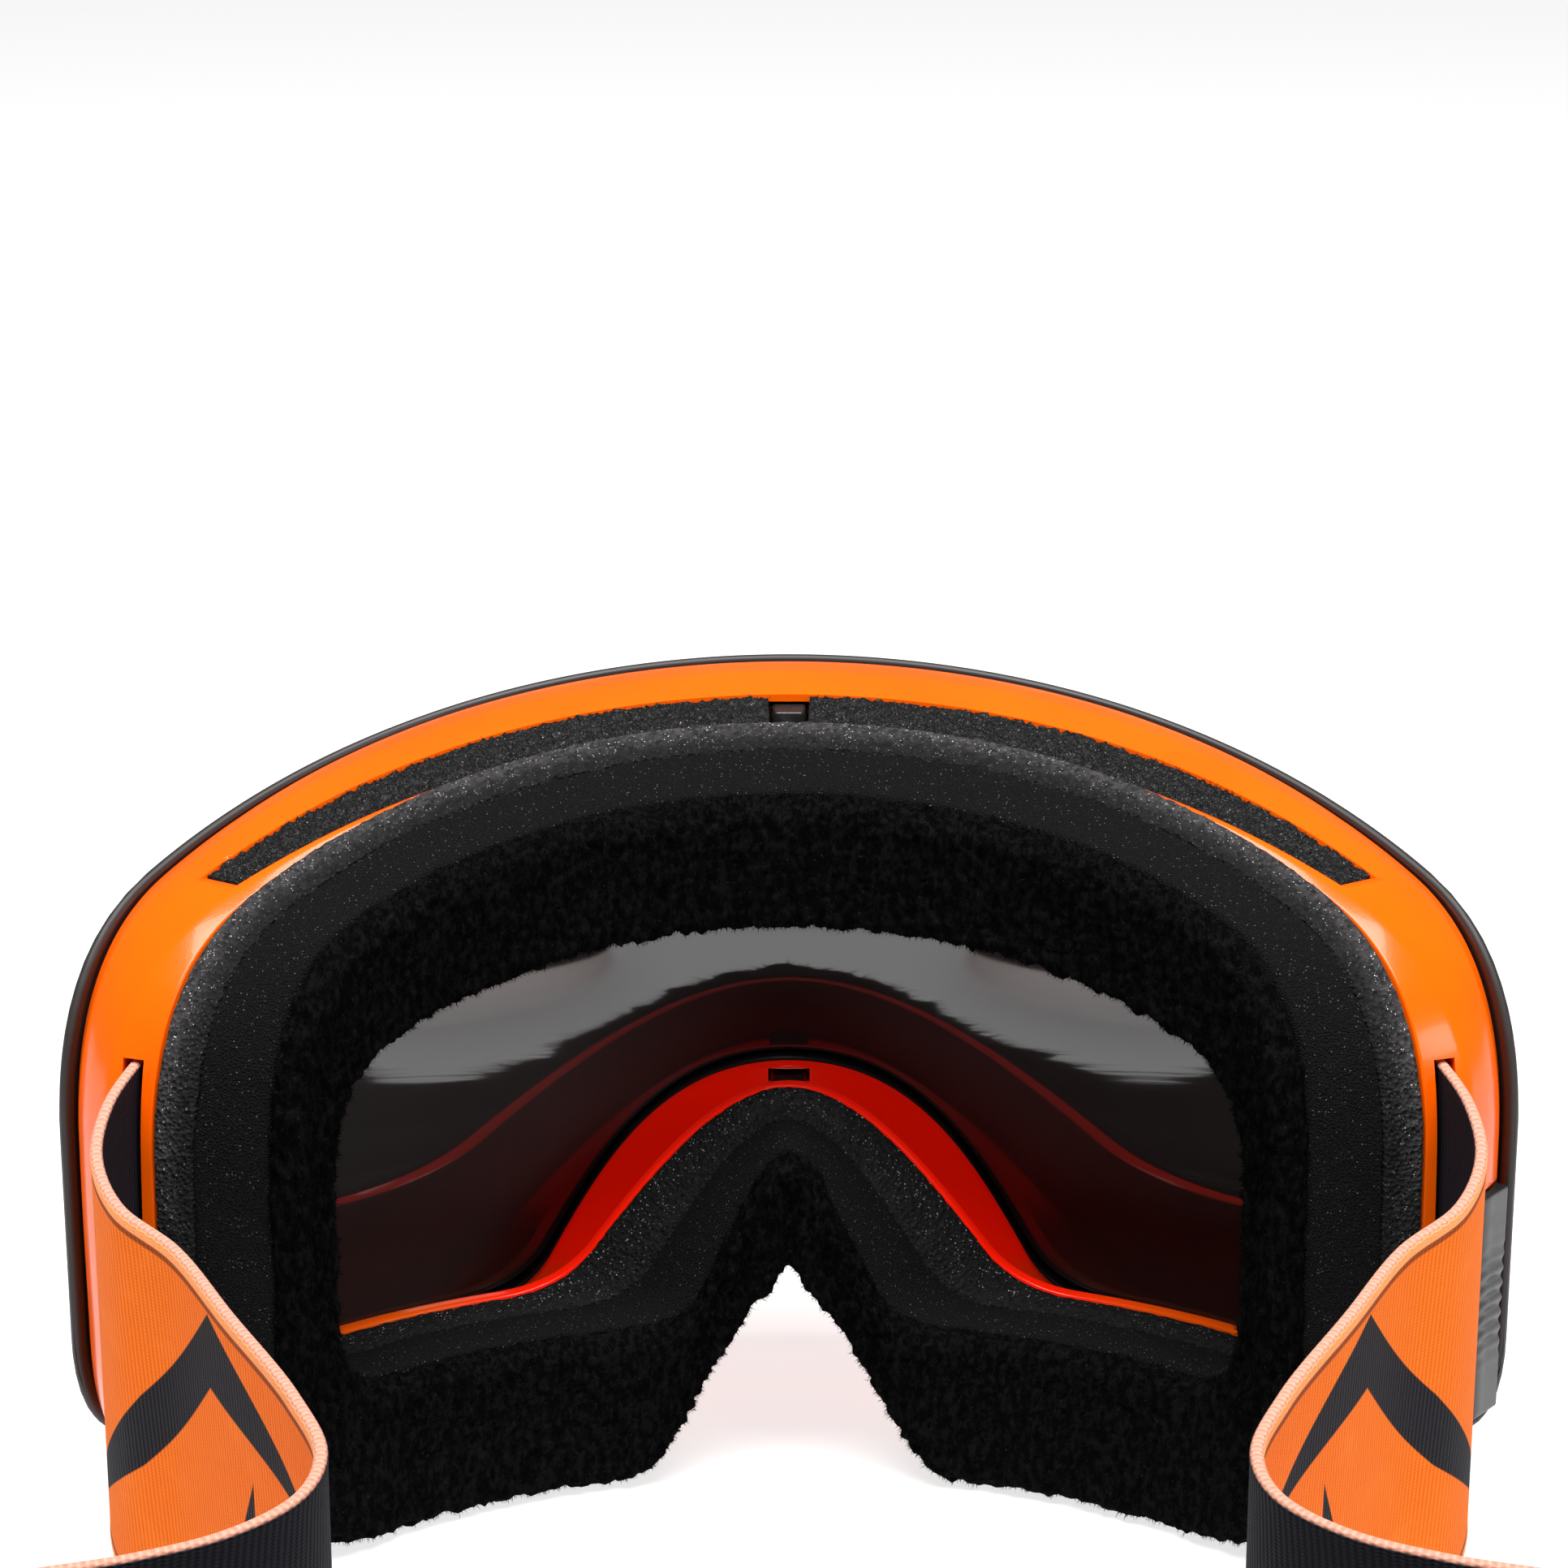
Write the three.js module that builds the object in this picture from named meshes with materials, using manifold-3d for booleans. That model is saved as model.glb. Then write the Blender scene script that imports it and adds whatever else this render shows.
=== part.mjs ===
// Ski goggles: one flexible outer frame, a clip-in double lens, three layers of face foam
// and a webbing strap in two halves that overlap behind the head.
// Millimetres, +Z up. The lens faces -Y and the wearer's left is +X. The goggles stand on
// z = 0 on the frame's lower edge and on the strap sliders.
import * as THREE from 'three';
import { mergeVertices } from 'three/addons/utils/BufferGeometryUtils.js';
import Module from 'manifold-3d';

const wasm = await Module();
wasm.setup();

// ---- Driving dimensions -------------------------------------------------------------
const GAP = 0.3; // clearance left between pieces that touch
const FOAM_GAP = 0.5; // and between the foam layers, whose facets differ

// The lens is part of an upright cylinder.
const LENS_RADIUS = 100;
const LENS_AXIS_Y = -5;
const MM_PER_DEGREE = (LENS_RADIUS * Math.PI) / 180;
const LENS_THICKNESS = 1.4;
const INNER_LENS_THICKNESS = 1;
const LENS_STACK = 6.7; // outer lens face to the back of the carrier
const RIM_WALL = 2.1; // frame wall around the carrier
const RIM_INSET = 0.6; // how far the frame's rim stays inside the lens edge
const LEDGE_WIDTH = 3.5; // how far the frame's ledge reaches in behind the carrier
const LEDGE_THICKNESS = 2;
const INNER_LENS_SETBACK = 2.7; // inner lens face in front of the carrier's back
const SHELL_WALL = 2.4;
const SHELL_BULGE = 0.8; // how far the middle of the shell swells outwards
const GASKET_WIDTH = 1.8;

// The face is an upright ellipse that leans back towards the cheeks.
const FACE_HALF_WIDTH = 67;
const FACE_DEPTH = 51;
const FACE_FRONT_Y = -65;
const FACE_LEAN = 0.06;
const FACE_TOP_Z = 96;

// Depths in front of the face, of the layers behind the frame.
const FLEECE_DEPTH = 3.4; // front of the fleece, and so on
const MIDDLE_FOAM_DEPTH = 11.4;
const BASE_FOAM_DEPTH = 16.5;
const FLANGE_REAR = 17;
const FLANGE_FRONT = 19;
const WING_REACH = 6.3; // how much further forward the flange lies at the strap slots

const STRAP_WIDTH = 50;
const STRAP_THICKNESS = 1.6;
const STRAP_REAR_Z = 28.4; // height of the strap's centreline behind the head
const STRAP_SLOT_Z = 39.5; // and at the frame
const REAR_Y = 100;
const LAYER_OFFSET = 1; // half the pitch of the two strap layers
const ANCHOR_RADIUS = 0.95;
const ANCHOR = new THREE.Vector2(75.3, -50.8);
const ANCHOR_HALF_LENGTH = 22.5;
const SLOT_PATH = [[77.2, -51], [79.2, -41.5], [81.1, -33]];
const SLOT_HALF_WIDTH = 1.4;
const SLOT_HALF_LENGTH = STRAP_WIDTH / 2 + 0.6;

const SLIDER_DEPTH = 10;
const SLIDER_HEIGHT = 56.8;
const SLIDER_LENGTH = 9;
const SLIDER_X = 34;
const STRAP_CLEARANCE = 0.45;

const LEVER_PIVOT = new THREE.Vector2(-84, -43.2);
const LEVER_TIP = new THREE.Vector2(-87.3, -47.2);
const LEVER_BOTTOM = 17;
const LEVER_TOP = 47;
const LEVER_HALF_THICKNESS = 1.5;
const LEVER_PIN_RADIUS = 0.7;

// Outlines, each a half from the top centre down the side and up to the nose. Distances
// across are degrees around the lens or the face, heights are millimetres.
const LENS_OUTLINE = {
  top: 98.8, crown: 25, side: 64.2, shoulder: 10.7, drop: 22.5, hip: 20, hipRun: 14,
  bottom: 5.5, foot: 19, toe: 5, noseTop: 37.5, noseRound: 8,
};
const FLANGE_OUTLINE = {
  top: 94.4, crown: 20, side: 68.5, shoulder: 15, drop: 22, hip: 22, hipRun: 16,
  bottom: 0, foot: 20.5, toe: 5, noseTop: 36.5, noseRound: 7,
};
const FLANGE_WINDOW = {
  top: 79, crown: 14, side: 57, shoulder: 10, drop: 18, hip: 16, hipRun: 12,
  bottom: 21.2, foot: 21.8, toe: 6, noseTop: 47.4, noseRound: 6.5,
};
// Outer and inner outlines of the foam stack at each of its depths.
const FOAM_AT_FLANGE = {
  outer: {
    top: 96.2, crown: 23, side: 68, shoulder: 15, drop: 22, hip: 20, hipRun: 15,
    bottom: 1, foot: 19, toe: 4, noseTop: 37.5, noseRound: 5,
  },
  inner: {
    top: 78.5, crown: 14, side: 57, shoulder: 10, drop: 18, hip: 16, hipRun: 12,
    bottom: 20.8, foot: 21.5, toe: 6, noseTop: 47, noseRound: 6,
  },
};
const FOAM_AT_MIDDLE = {
  outer: {
    top: 94, crown: 21.5, side: 67, shoulder: 15, drop: 22, hip: 20, hipRun: 15,
    bottom: 0.8, foot: 18, toe: 4, noseTop: 35, noseRound: 4,
  },
  inner: {
    top: 76.5, crown: 14, side: 56, shoulder: 10, drop: 17, hip: 15, hipRun: 11,
    bottom: 20.8, foot: 16, toe: 6, noseTop: 45, noseRound: 4,
  },
};
const FOAM_AT_FLEECE = {
  outer: {
    top: 90.6, crown: 17, side: 63, shoulder: 14, drop: 22, hip: 20, hipRun: 14,
    bottom: 0.8, foot: 15.5, toe: 4, noseTop: 31, noseRound: 2.5,
  },
  inner: {
    top: 74.2, crown: 13.5, side: 54.8, shoulder: 9, drop: 15, hip: 14, hipRun: 9,
    bottom: 20.8, foot: 11, toe: 6, noseTop: 44, noseRound: 2,
  },
};
const FOAM_AT_FACE = {
  outer: {
    top: 88.6, crown: 15.5, side: 61, shoulder: 14, drop: 22, hip: 18, hipRun: 13,
    bottom: 2, foot: 15, toe: 4, noseTop: 28.8, noseRound: 2,
  },
  inner: {
    top: 74.8, crown: 13.5, side: 55.3, shoulder: 9, drop: 15, hip: 14, hipRun: 9,
    bottom: 19.6, foot: 11, toe: 6, noseTop: 42.4, noseRound: 2,
  },
};

// Steps along each stretch of a half outline: crown, shoulder, side, hip, bottom, toe, nose.
const STEPS = [16, 6, 4, 5, 6, 3, 7];
const HALF_STEPS = STEPS.reduce((sum, steps) => sum + steps, 0);
const STATIONS = 2 * HALF_STEPS;
const TOP_WINDOW = [-16, 16]; // stations the top vent window spans
const TOP_STRIPS = [[1, 7], [9, 16]]; // and the foam strips in it, on each side of the middle
const BOTTOM_FIRST = STEPS.slice(0, 4).reduce((sum, steps) => sum + steps, 0);
const SIDES = [['left', 1], ['right', -1]];

// ---- Materials ----------------------------------------------------------------------
function material(color, roughness, metalness = 0) {
  return new THREE.MeshStandardMaterial({ color, roughness, metalness });
}

const ORANGE = material(0xff7a10, 0.28);
const DARK_LENS = material(0x2e2624, 0.08);
const CLEAR_LENS = material(0x8d8b8a, 0.1);
const BLACK_PLASTIC = material(0x161617, 0.42);
const RUBBER = material(0x101010, 0.7);
const VENT_FOAM = material(0x0c0c0c, 1);
const SPECKLED_FOAM = material(0x4a4a4a, 0.95);
const BLACK_FOAM = material(0x0f0f10, 0.97);
const FLEECE = material(0x1a1b1f, 1);
const WEBBING = material(0xff6a1a, 0.8);
const STEEL = material(0x9a9a9a, 0.3, 1);

// ---- Outlines and the surfaces that carry them ----------------------------------------
function mix(a, b, t) {
  return a + (b - a) * t;
}

// All the stations of an outline, as Vector2(degrees, height), once round from the top
// centre by way of +X.
function stations(o) {
  const bend = o.side - o.shoulder;
  const bendZ = o.top - o.crown * (bend / o.side) ** 2;
  const peakZ = bendZ - (2 * o.crown * bend * o.shoulder) / o.side ** 2;
  const flank = (t) => [mix(o.foot, o.noseRound, t), mix(o.bottom, o.noseTop, t)];
  const path = new THREE.Path();
  path.moveTo(0, o.top);
  path.quadraticCurveTo(bend / 2, o.top, bend, bendZ);
  path.quadraticCurveTo(o.side, peakZ, o.side, peakZ - o.drop);
  path.lineTo(o.side, o.bottom + o.hip);
  path.quadraticCurveTo(o.side, o.bottom, o.side - o.hipRun, o.bottom);
  path.lineTo(o.foot + o.toe, o.bottom);
  path.quadraticCurveTo(o.foot, o.bottom, ...flank(0.2));
  path.bezierCurveTo(...flank(0.6), o.noseRound, o.noseTop, 0, o.noseTop);
  const half = path.curves.flatMap((curve, i) => curve.getSpacedPoints(STEPS[i]).slice(0, -1));
  half.push(new THREE.Vector2(0, o.noseTop));
  const mirrored = half.slice(1, -1).reverse().map((p) => new THREE.Vector2(-p.x, p.y));
  return [...half, ...mirrored];
}

// The lens outline drawn in by a distance all round.
function insetLens(distance) {
  const o = LENS_OUTLINE;
  return {
    ...o,
    top: o.top - distance,
    side: o.side - distance / MM_PER_DEGREE,
    bottom: o.bottom + distance,
    foot: o.foot + 0.32 * distance,
    noseTop: o.noseTop + distance,
    noseRound: o.noseRound + 0.3 * distance,
  };
}

// A point on a cylinder inside the lens. Beside the nose the edges run straight back, so that
// the lens slides out of the frame; further out they run square to the lens.
function lensPoint(degrees, z, radius) {
  const square = THREE.MathUtils.degToRad(degrees);
  const straight = Math.asin((LENS_RADIUS / radius) * Math.sin(square));
  const nearNose = THREE.MathUtils.clamp((45 - Math.abs(degrees)) / 20, 0, 1);
  const angle = nearNose > 0 ? mix(square, straight, nearNose) : square;
  return new THREE.Vector3(radius * Math.sin(angle), LENS_AXIS_Y - radius * Math.cos(angle), z);
}

// A point in front of the face ellipse, measured square to it.
function facePoint(degrees, z, depth) {
  const angle = THREE.MathUtils.degToRad(degrees);
  const outX = FACE_DEPTH * Math.sin(angle);
  const outY = FACE_HALF_WIDTH * Math.cos(angle);
  const length = Math.hypot(outX, outY);
  const x = FACE_HALF_WIDTH * Math.sin(angle) + (depth * outX) / length;
  const y = FACE_FRONT_Y + FACE_DEPTH * (1 - Math.cos(angle)) - (depth * outY) / length;
  return new THREE.Vector3(x, y + FACE_LEAN * (FACE_TOP_Z - z), z);
}

const lensLoop = (inset, radius) =>
  stations(insetLens(inset)).map((p) => lensPoint(p.x, p.y, radius));
const faceLoop = (outline, depth) =>
  stations(outline).map((p) => facePoint(p.x, p.y, depth));

// ---- Solids ---------------------------------------------------------------------------
function closedGeometry(points, triangles) {
  const geometry = new THREE.BufferGeometry();
  geometry.setAttribute('position', new THREE.Float32BufferAttribute(points.flatMap((p) => p.toArray()), 3));
  geometry.setIndex(triangles.flat());
  return facingOut(geometry);
}

// Turns the triangles over if the volume they enclose comes out negative.
function facingOut(geometry) {
  const position = geometry.getAttribute('position');
  const index = geometry.getIndex().array;
  const [a, b, c] = [new THREE.Vector3(), new THREE.Vector3(), new THREE.Vector3()];
  let volume = 0;
  for (let i = 0; i < index.length; i += 3) {
    a.fromBufferAttribute(position, index[i]);
    b.fromBufferAttribute(position, index[i + 1]);
    c.fromBufferAttribute(position, index[i + 2]);
    volume += a.dot(b.cross(c));
  }
  if (volume < 0) {
    for (let i = 0; i < index.length; i += 3) {
      [index[i + 1], index[i + 2]] = [index[i + 2], index[i + 1]];
    }
  }
  return geometry;
}

// A closed ring whose section at each station joins one point of every loop.
function ring(loops) {
  const count = loops[0].length;
  const triangles = [];
  for (let j = 0; j < loops.length; j += 1) {
    const next = (j + 1) % loops.length;
    for (let i = 0; i < count; i += 1) {
      const after = (i + 1) % count;
      const [a, b] = [j * count + i, j * count + after];
      const [c, d] = [next * count + after, next * count + i];
      triangles.push([a, b, c], [a, c, d]);
    }
  }
  return closedGeometry(loops.flat(), triangles);
}

// A bar along open rails, four to a section, with flat ends.
function bar(rails) {
  const count = rails[0].length;
  const triangles = [];
  for (let j = 0; j < 4; j += 1) {
    const next = (j + 1) % 4;
    for (let i = 0; i < count - 1; i += 1) {
      const [a, b] = [j * count + i, j * count + i + 1];
      const [c, d] = [next * count + i + 1, next * count + i];
      triangles.push([a, b, c], [a, c, d]);
    }
  }
  const start = [0, 1, 2, 3].map((j) => j * count);
  const end = start.map((k) => k + count - 1);
  triangles.push([start[0], start[1], start[2]], [start[0], start[2], start[3]]);
  triangles.push([end[0], end[2], end[1]], [end[0], end[3], end[2]]);
  return closedGeometry(rails.flat(), triangles);
}

// The same stretch of several loops, stations first to last; negative ones are on -X.
function stretch(loop, first, last) {
  const rail = [];
  for (let i = first; i <= last; i += 1) {
    rail.push(loop[(i + STATIONS) % STATIONS]);
  }
  return rail;
}

const blend = (loopA, loopB, t) => loopA.map((p, i) => p.clone().lerp(loopB[i], t));
const shift = (loop, directions, distance) =>
  loop.map((p, i) => p.clone().addScaledVector(directions[i], distance));

function solid(geometry) {
  const plain = geometry.clone();
  plain.deleteAttribute('normal');
  plain.deleteAttribute('uv');
  const merged = mergeVertices(plain, 1e-4);
  return new wasm.Manifold(new wasm.Mesh({
    numProp: 3,
    vertProperties: new Float32Array(merged.getAttribute('position').array),
    triVerts: new Uint32Array(merged.getIndex().array),
  }));
}

function fromSolid(manifold) {
  const mesh = manifold.getMesh();
  const geometry = new THREE.BufferGeometry();
  geometry.setAttribute('position', new THREE.Float32BufferAttribute(mesh.vertProperties, 3));
  geometry.setIndex([...mesh.triVerts]);
  return geometry;
}

function cut(geometry, cutters) {
  return fromSolid(cutters.reduce((rest, cutter) => rest.subtract(solid(cutter)), solid(geometry)));
}

// A box from one corner to the other.
function block(minX, maxX, minY, maxY, minZ, maxZ) {
  const box = new THREE.BoxGeometry(maxX - minX, maxY - minY, maxZ - minZ);
  return box.translate((minX + maxX) / 2, (minY + maxY) / 2, (minZ + maxZ) / 2);
}

// A plan outline pulled up from one height to another.
function upright(points, minZ, maxZ) {
  const shape = new THREE.Shape(points);
  return new THREE.ExtrudeGeometry(shape, { depth: maxZ - minZ, bevelEnabled: false }).translate(0, 0, minZ);
}

function uprightRod(center, radius, minZ, maxZ, sides = 20) {
  const rod = new THREE.CylinderGeometry(radius, radius, maxZ - minZ, sides);
  return rod.rotateX(Math.PI / 2).translate(center.x, center.y, (minZ + maxZ) / 2);
}

// ---- The object -------------------------------------------------------------------------
const goggles = new THREE.Group();

function add(name, geometry, look) {
  const mesh = new THREE.Mesh(geometry, look);
  mesh.name = name;
  goggles.add(mesh);
}

// Lens: two panes with a rubber spacer between them, in a carrier that clips into the frame.
function pane(inset, outerRadius, thickness) {
  const edge = stations(insetLens(inset)).slice(0, HALF_STEPS + 1);
  const split = STEPS[0] + STEPS[1] + 1;
  const heightAt = (line, degrees) => {
    const after = line.findIndex((p) => p.x >= degrees);
    if (after <= 0) return line[after < 0 ? line.length - 1 : 0].y;
    const [a, b] = [line[after - 1], line[after]];
    return mix(a.y, b.y, (degrees - a.x) / (b.x - a.x));
  };
  const upper = edge.slice(0, split);
  const lower = edge.slice(split + STEPS[2] - 1).reverse();
  const columns = [...upper, ...lower].map((p) => p.x).sort((a, b) => a - b);
  const half = columns.filter((x, i) => i === 0 || x - columns[i - 1] > 0.25);
  half[half.length - 1] = upper[upper.length - 1].x;
  const across = [...half.slice(1).map((x) => -x).reverse(), ...half];
  const rail = (line, radius) =>
    across.map((x) => lensPoint(x, heightAt(line, Math.abs(x)), radius));
  const innerRadius = outerRadius - thickness;
  return bar([
    rail(upper, outerRadius), rail(lower, outerRadius),
    rail(lower, innerRadius), rail(upper, innerRadius),
  ]);
}

function lensRing(insetFrom, insetTo, outerRadius, innerRadius) {
  return ring([
    lensLoop(insetFrom, outerRadius), lensLoop(insetTo, outerRadius),
    lensLoop(insetTo, innerRadius), lensLoop(insetFrom, innerRadius),
  ]);
}

const carrierFront = LENS_RADIUS - LENS_THICKNESS - GAP;
const carrierRear = LENS_RADIUS - LENS_STACK;
const carrierInset = RIM_INSET + RIM_WALL + GAP;
const carrierWindow = carrierInset + LEDGE_WIDTH;
const gasketWindow = carrierWindow + GASKET_WIDTH;
const innerLensFront = carrierRear + INNER_LENS_SETBACK;
add('outer_lens', pane(0, LENS_RADIUS, LENS_THICKNESS), DARK_LENS);
add('lens_carrier', lensRing(carrierInset, carrierWindow, carrierFront, carrierRear), BLACK_PLASTIC);
add('lens_gasket',
  lensRing(carrierWindow + GAP, gasketWindow, carrierFront, innerLensFront + GAP), RUBBER);
add('inner_lens', pane(carrierWindow + GAP, innerLensFront, INNER_LENS_THICKNESS), CLEAR_LENS);

// Four straight fingers on the carrier reach back through notches in the frame's ledge.
const TAB_HALF_WIDTH = 2.5;
const TAB_OVERLAP = 6; // how far a finger starts in front of the carrier's back, before trimming
const TABS = [
  { name: 'carrier_tab_centre', x: 0, bottom: 91, top: 95.6, reach: 10 },
  { name: 'carrier_tab_left', x: 45, bottom: 85.2, top: 89.8, reach: 6.5 },
  { name: 'carrier_tab_right', x: -45, bottom: 85.2, top: 89.8, reach: 6.5 },
  { name: 'carrier_tab_nose', x: 0, bottom: 40.7, top: 43, reach: 10 },
];
const lensY = (x, radius) => LENS_AXIS_Y - Math.sqrt(radius ** 2 - x ** 2);
function tabBlock({ x, bottom, top, reach }, margin) {
  const front = lensY(Math.abs(x), carrierRear) - TAB_OVERLAP;
  const rear = lensY(Math.abs(x), carrierRear) + reach;
  return block(x - TAB_HALF_WIDTH - margin, x + TAB_HALF_WIDTH + margin,
    front, rear + margin, bottom - margin, top + margin);
}
for (const tab of TABS) {
  const inside = new THREE.CylinderGeometry(carrierRear - GAP, carrierRear - GAP, 200, 180);
  inside.rotateX(Math.PI / 2).translate(0, LENS_AXIS_Y, 0);
  add(tab.name, fromSolid(solid(tabBlock(tab, 0)).intersect(solid(inside))), BLACK_PLASTIC);
}

// Frame: a soft shell from the rim around the lens back to the flange that carries the foam.
const rimFront = lensLoop(RIM_INSET, carrierFront);
const flangeEdge = stations(FLANGE_OUTLINE).map((p) => {
  const wing = WING_REACH * Math.abs(p.x / FLANGE_OUTLINE.side) ** 5;
  return facePoint(p.x, p.y, FLANGE_REAR + wing);
});
const flangeWindow = faceLoop(FLANGE_WINDOW, FLANGE_REAR);
const flangeWindowFront = faceLoop(FLANGE_WINDOW, FLANGE_FRONT);
const inward = flangeEdge.map((p, i) => flangeWindow[i].clone().sub(p).normalize());
const forward = flangeWindow.map((p, i) => flangeWindowFront[i].clone().sub(p).normalize());
const shellMiddle = shift(blend(rimFront, flangeEdge, 0.55), inward, -SHELL_BULGE);
const ledgeRadius = carrierRear - GAP;
const ledgeInset = RIM_INSET + RIM_WALL + LEDGE_WIDTH;
const shellCorner = shift(shift(flangeEdge, inward, SHELL_WALL), forward, 2);
const foamSeat = blend(faceLoop(FLANGE_OUTLINE, FLANGE_REAR), flangeWindow, 0.06);

const shell = ring([
  rimFront,
  shellMiddle,
  flangeEdge,
  foamSeat,
  flangeWindow,
  flangeWindowFront,
  shellCorner,
  shift(shellMiddle, inward, SHELL_WALL),
  lensLoop(ledgeInset, ledgeRadius - LEDGE_THICKNESS),
  lensLoop(ledgeInset, ledgeRadius),
  lensLoop(RIM_INSET + RIM_WALL, ledgeRadius),
  lensLoop(RIM_INSET + RIM_WALL, carrierFront),
]);

// Vent windows run along the top and the bottom of the shell; a foam strip covers each.
function ventBand(first, last, from, to, above, below) {
  const near = blend(shellMiddle, flangeEdge, from);
  const far = blend(shellMiddle, flangeEdge, to);
  return bar([
    stretch(shift(near, inward, -above), first, last),
    stretch(shift(far, inward, -above), first, last),
    stretch(shift(far, inward, below), first, last),
    stretch(shift(near, inward, below), first, last),
  ]);
}
const BOTTOM_VENT = [BOTTOM_FIRST + 1, BOTTOM_FIRST + STEPS[4] - 1];
const mirrorRange = ([first, last]) => [-last, -first];
const ventCuts = [TOP_WINDOW, BOTTOM_VENT, mirrorRange(BOTTOM_VENT)]
  .map(([first, last]) => ventBand(first, last, 0, 0.9, 4, 5));

const tabCuts = TABS.map((tab) => tabBlock(tab, GAP));
// The strap slots slant outwards along the strap's own path.
const slotCuts = SIDES.map(([, side]) => {
  const edge = (offset) => SLOT_PATH.map(([x, y]) => new THREE.Vector2(side * (x + offset), y));
  return upright([...edge(-SLOT_HALF_WIDTH), ...edge(SLOT_HALF_WIDTH).reverse()],
    STRAP_SLOT_Z - SLOT_HALF_LENGTH, STRAP_SLOT_Z + SLOT_HALF_LENGTH);
});

const leverRecess = upright(leverPlan(0.5), LEVER_BOTTOM - 0.5, LEVER_TOP + 0.5);
const pinBore = uprightRod(LEVER_PIVOT, LEVER_PIN_RADIUS + GAP, LEVER_BOTTOM - 3, LEVER_TOP + 3);
add('main_frame',
  cut(shell, [...ventCuts, ...tabCuts, ...slotCuts, leverRecess, pinBore]), ORANGE);

// Face foam: open-cell base, a softer middle and a fleece skin that touches the face.
function foamLayer(front, rear) {
  return ring([
    faceLoop(front.outline.outer, front.depth), faceLoop(rear.outline.outer, rear.depth),
    faceLoop(rear.outline.inner, rear.depth), faceLoop(front.outline.inner, front.depth),
  ]);
}
add('face_foam_base', foamLayer(
  { outline: FOAM_AT_FLANGE, depth: BASE_FOAM_DEPTH },
  { outline: FOAM_AT_MIDDLE, depth: MIDDLE_FOAM_DEPTH + FOAM_GAP }), SPECKLED_FOAM);
add('face_foam_middle', foamLayer(
  { outline: FOAM_AT_MIDDLE, depth: MIDDLE_FOAM_DEPTH },
  { outline: FOAM_AT_FLEECE, depth: FLEECE_DEPTH + FOAM_GAP }), BLACK_FOAM);
add('face_fleece', foamLayer(
  { outline: FOAM_AT_FLEECE, depth: FLEECE_DEPTH },
  { outline: FOAM_AT_FACE, depth: 0 }), FLEECE);

// Straps: one for each side, from a bar inside the frame, out through the slot, and round
// to the back, where the left one lies outside the right one.
const STRAP_BENDS = [
  [79.2, -41.5, 39.5], [80.9, -33, 38], [80.8, -23.5, 35.6], [76.8, -13, 33.6], [69, -3.5, 32.4],
  [61, 12, 31.4], [51.8, 30, 30.4], [47.6, 42, 29.6], [49, 51, 29.2], [55, 58, 28.9],
  [64, 62.5, 28.6], [75, 66, 28.4], [84, 71.5, 28.4], [88, 80, 28.4], [84, 90, 28.4],
];
const STRAP_STEPS = 64;
const STRAP_END_X = -50;

// The sewn end hooks round the bar as an arc, then the bends lead to the straight rear run.
function strapCentreline(rearY) {
  const wrap = ANCHOR_RADIUS + GAP + STRAP_THICKNESS / 2;
  const hook = [];
  for (let degrees = 200; degrees < 350; degrees += 25) {
    const angle = THREE.MathUtils.degToRad(degrees);
    hook.push(new THREE.Vector3(
      ANCHOR.x + wrap * Math.cos(angle), ANCHOR.y + wrap * Math.sin(angle), STRAP_SLOT_Z));
  }
  const bends = [hook.at(-1), ...STRAP_BENDS.map((p) => new THREE.Vector3(...p)),
    new THREE.Vector3(72, mix(90, rearY, 0.75), STRAP_REAR_Z),
    new THREE.Vector3(58, rearY, STRAP_REAR_Z)];
  const curve = new THREE.CatmullRomCurve3(bends, false, 'centripetal');
  return [...hook.slice(0, -1), ...curve.getSpacedPoints(STRAP_STEPS),
    new THREE.Vector3(STRAP_END_X, rearY, STRAP_REAR_Z)];
}

function strap(side, rearY) {
  const line = strapCentreline(rearY);
  const corner = (across, up) => line.map((p, i) => {
    const along = line[Math.min(i + 1, line.length - 1)].clone().sub(line[Math.max(i - 1, 0)]);
    if (i === line.length - 2) along.set(-1, 0, 0);
    const normal = new THREE.Vector3(along.y, -along.x, 0).normalize();
    const q = p.clone().addScaledVector(normal, (across * STRAP_THICKNESS) / 2);
    return new THREE.Vector3(side * q.x, q.y, q.z + (up * STRAP_WIDTH) / 2);
  });
  return bar([corner(-1, -1), corner(1, -1), corner(1, 1), corner(-1, 1)]);
}

for (const [name, side] of SIDES) {
  add(`strap_${name}`, strap(side, REAR_Y + side * LAYER_OFFSET), WEBBING);
  const anchor = new THREE.Vector2(side * ANCHOR.x, ANCHOR.y);
  add(`strap_anchor_bar_${name}`, uprightRod(anchor, ANCHOR_RADIUS,
    STRAP_SLOT_Z - ANCHOR_HALF_LENGTH, STRAP_SLOT_Z + ANCHOR_HALF_LENGTH), STEEL);
}

// Sliders: a rectangular loop around both strap layers.
function slider(x) {
  const halfDepth = STRAP_THICKNESS / 2 + LAYER_OFFSET + STRAP_CLEARANCE;
  const outer = block(x - SLIDER_LENGTH / 2, x + SLIDER_LENGTH / 2,
    REAR_Y - SLIDER_DEPTH / 2, REAR_Y + SLIDER_DEPTH / 2, 0, SLIDER_HEIGHT);
  const window = block(x - SLIDER_LENGTH, x + SLIDER_LENGTH, REAR_Y - halfDepth, REAR_Y + halfDepth,
    STRAP_REAR_Z - STRAP_WIDTH / 2 - STRAP_CLEARANCE, STRAP_REAR_Z + STRAP_WIDTH / 2 + STRAP_CLEARANCE);
  return cut(outer, [window]);
}
for (const [name, side] of SIDES) {
  add(`strap_slider_${name}`, slider(side * SLIDER_X), BLACK_PLASTIC);
}

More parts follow.
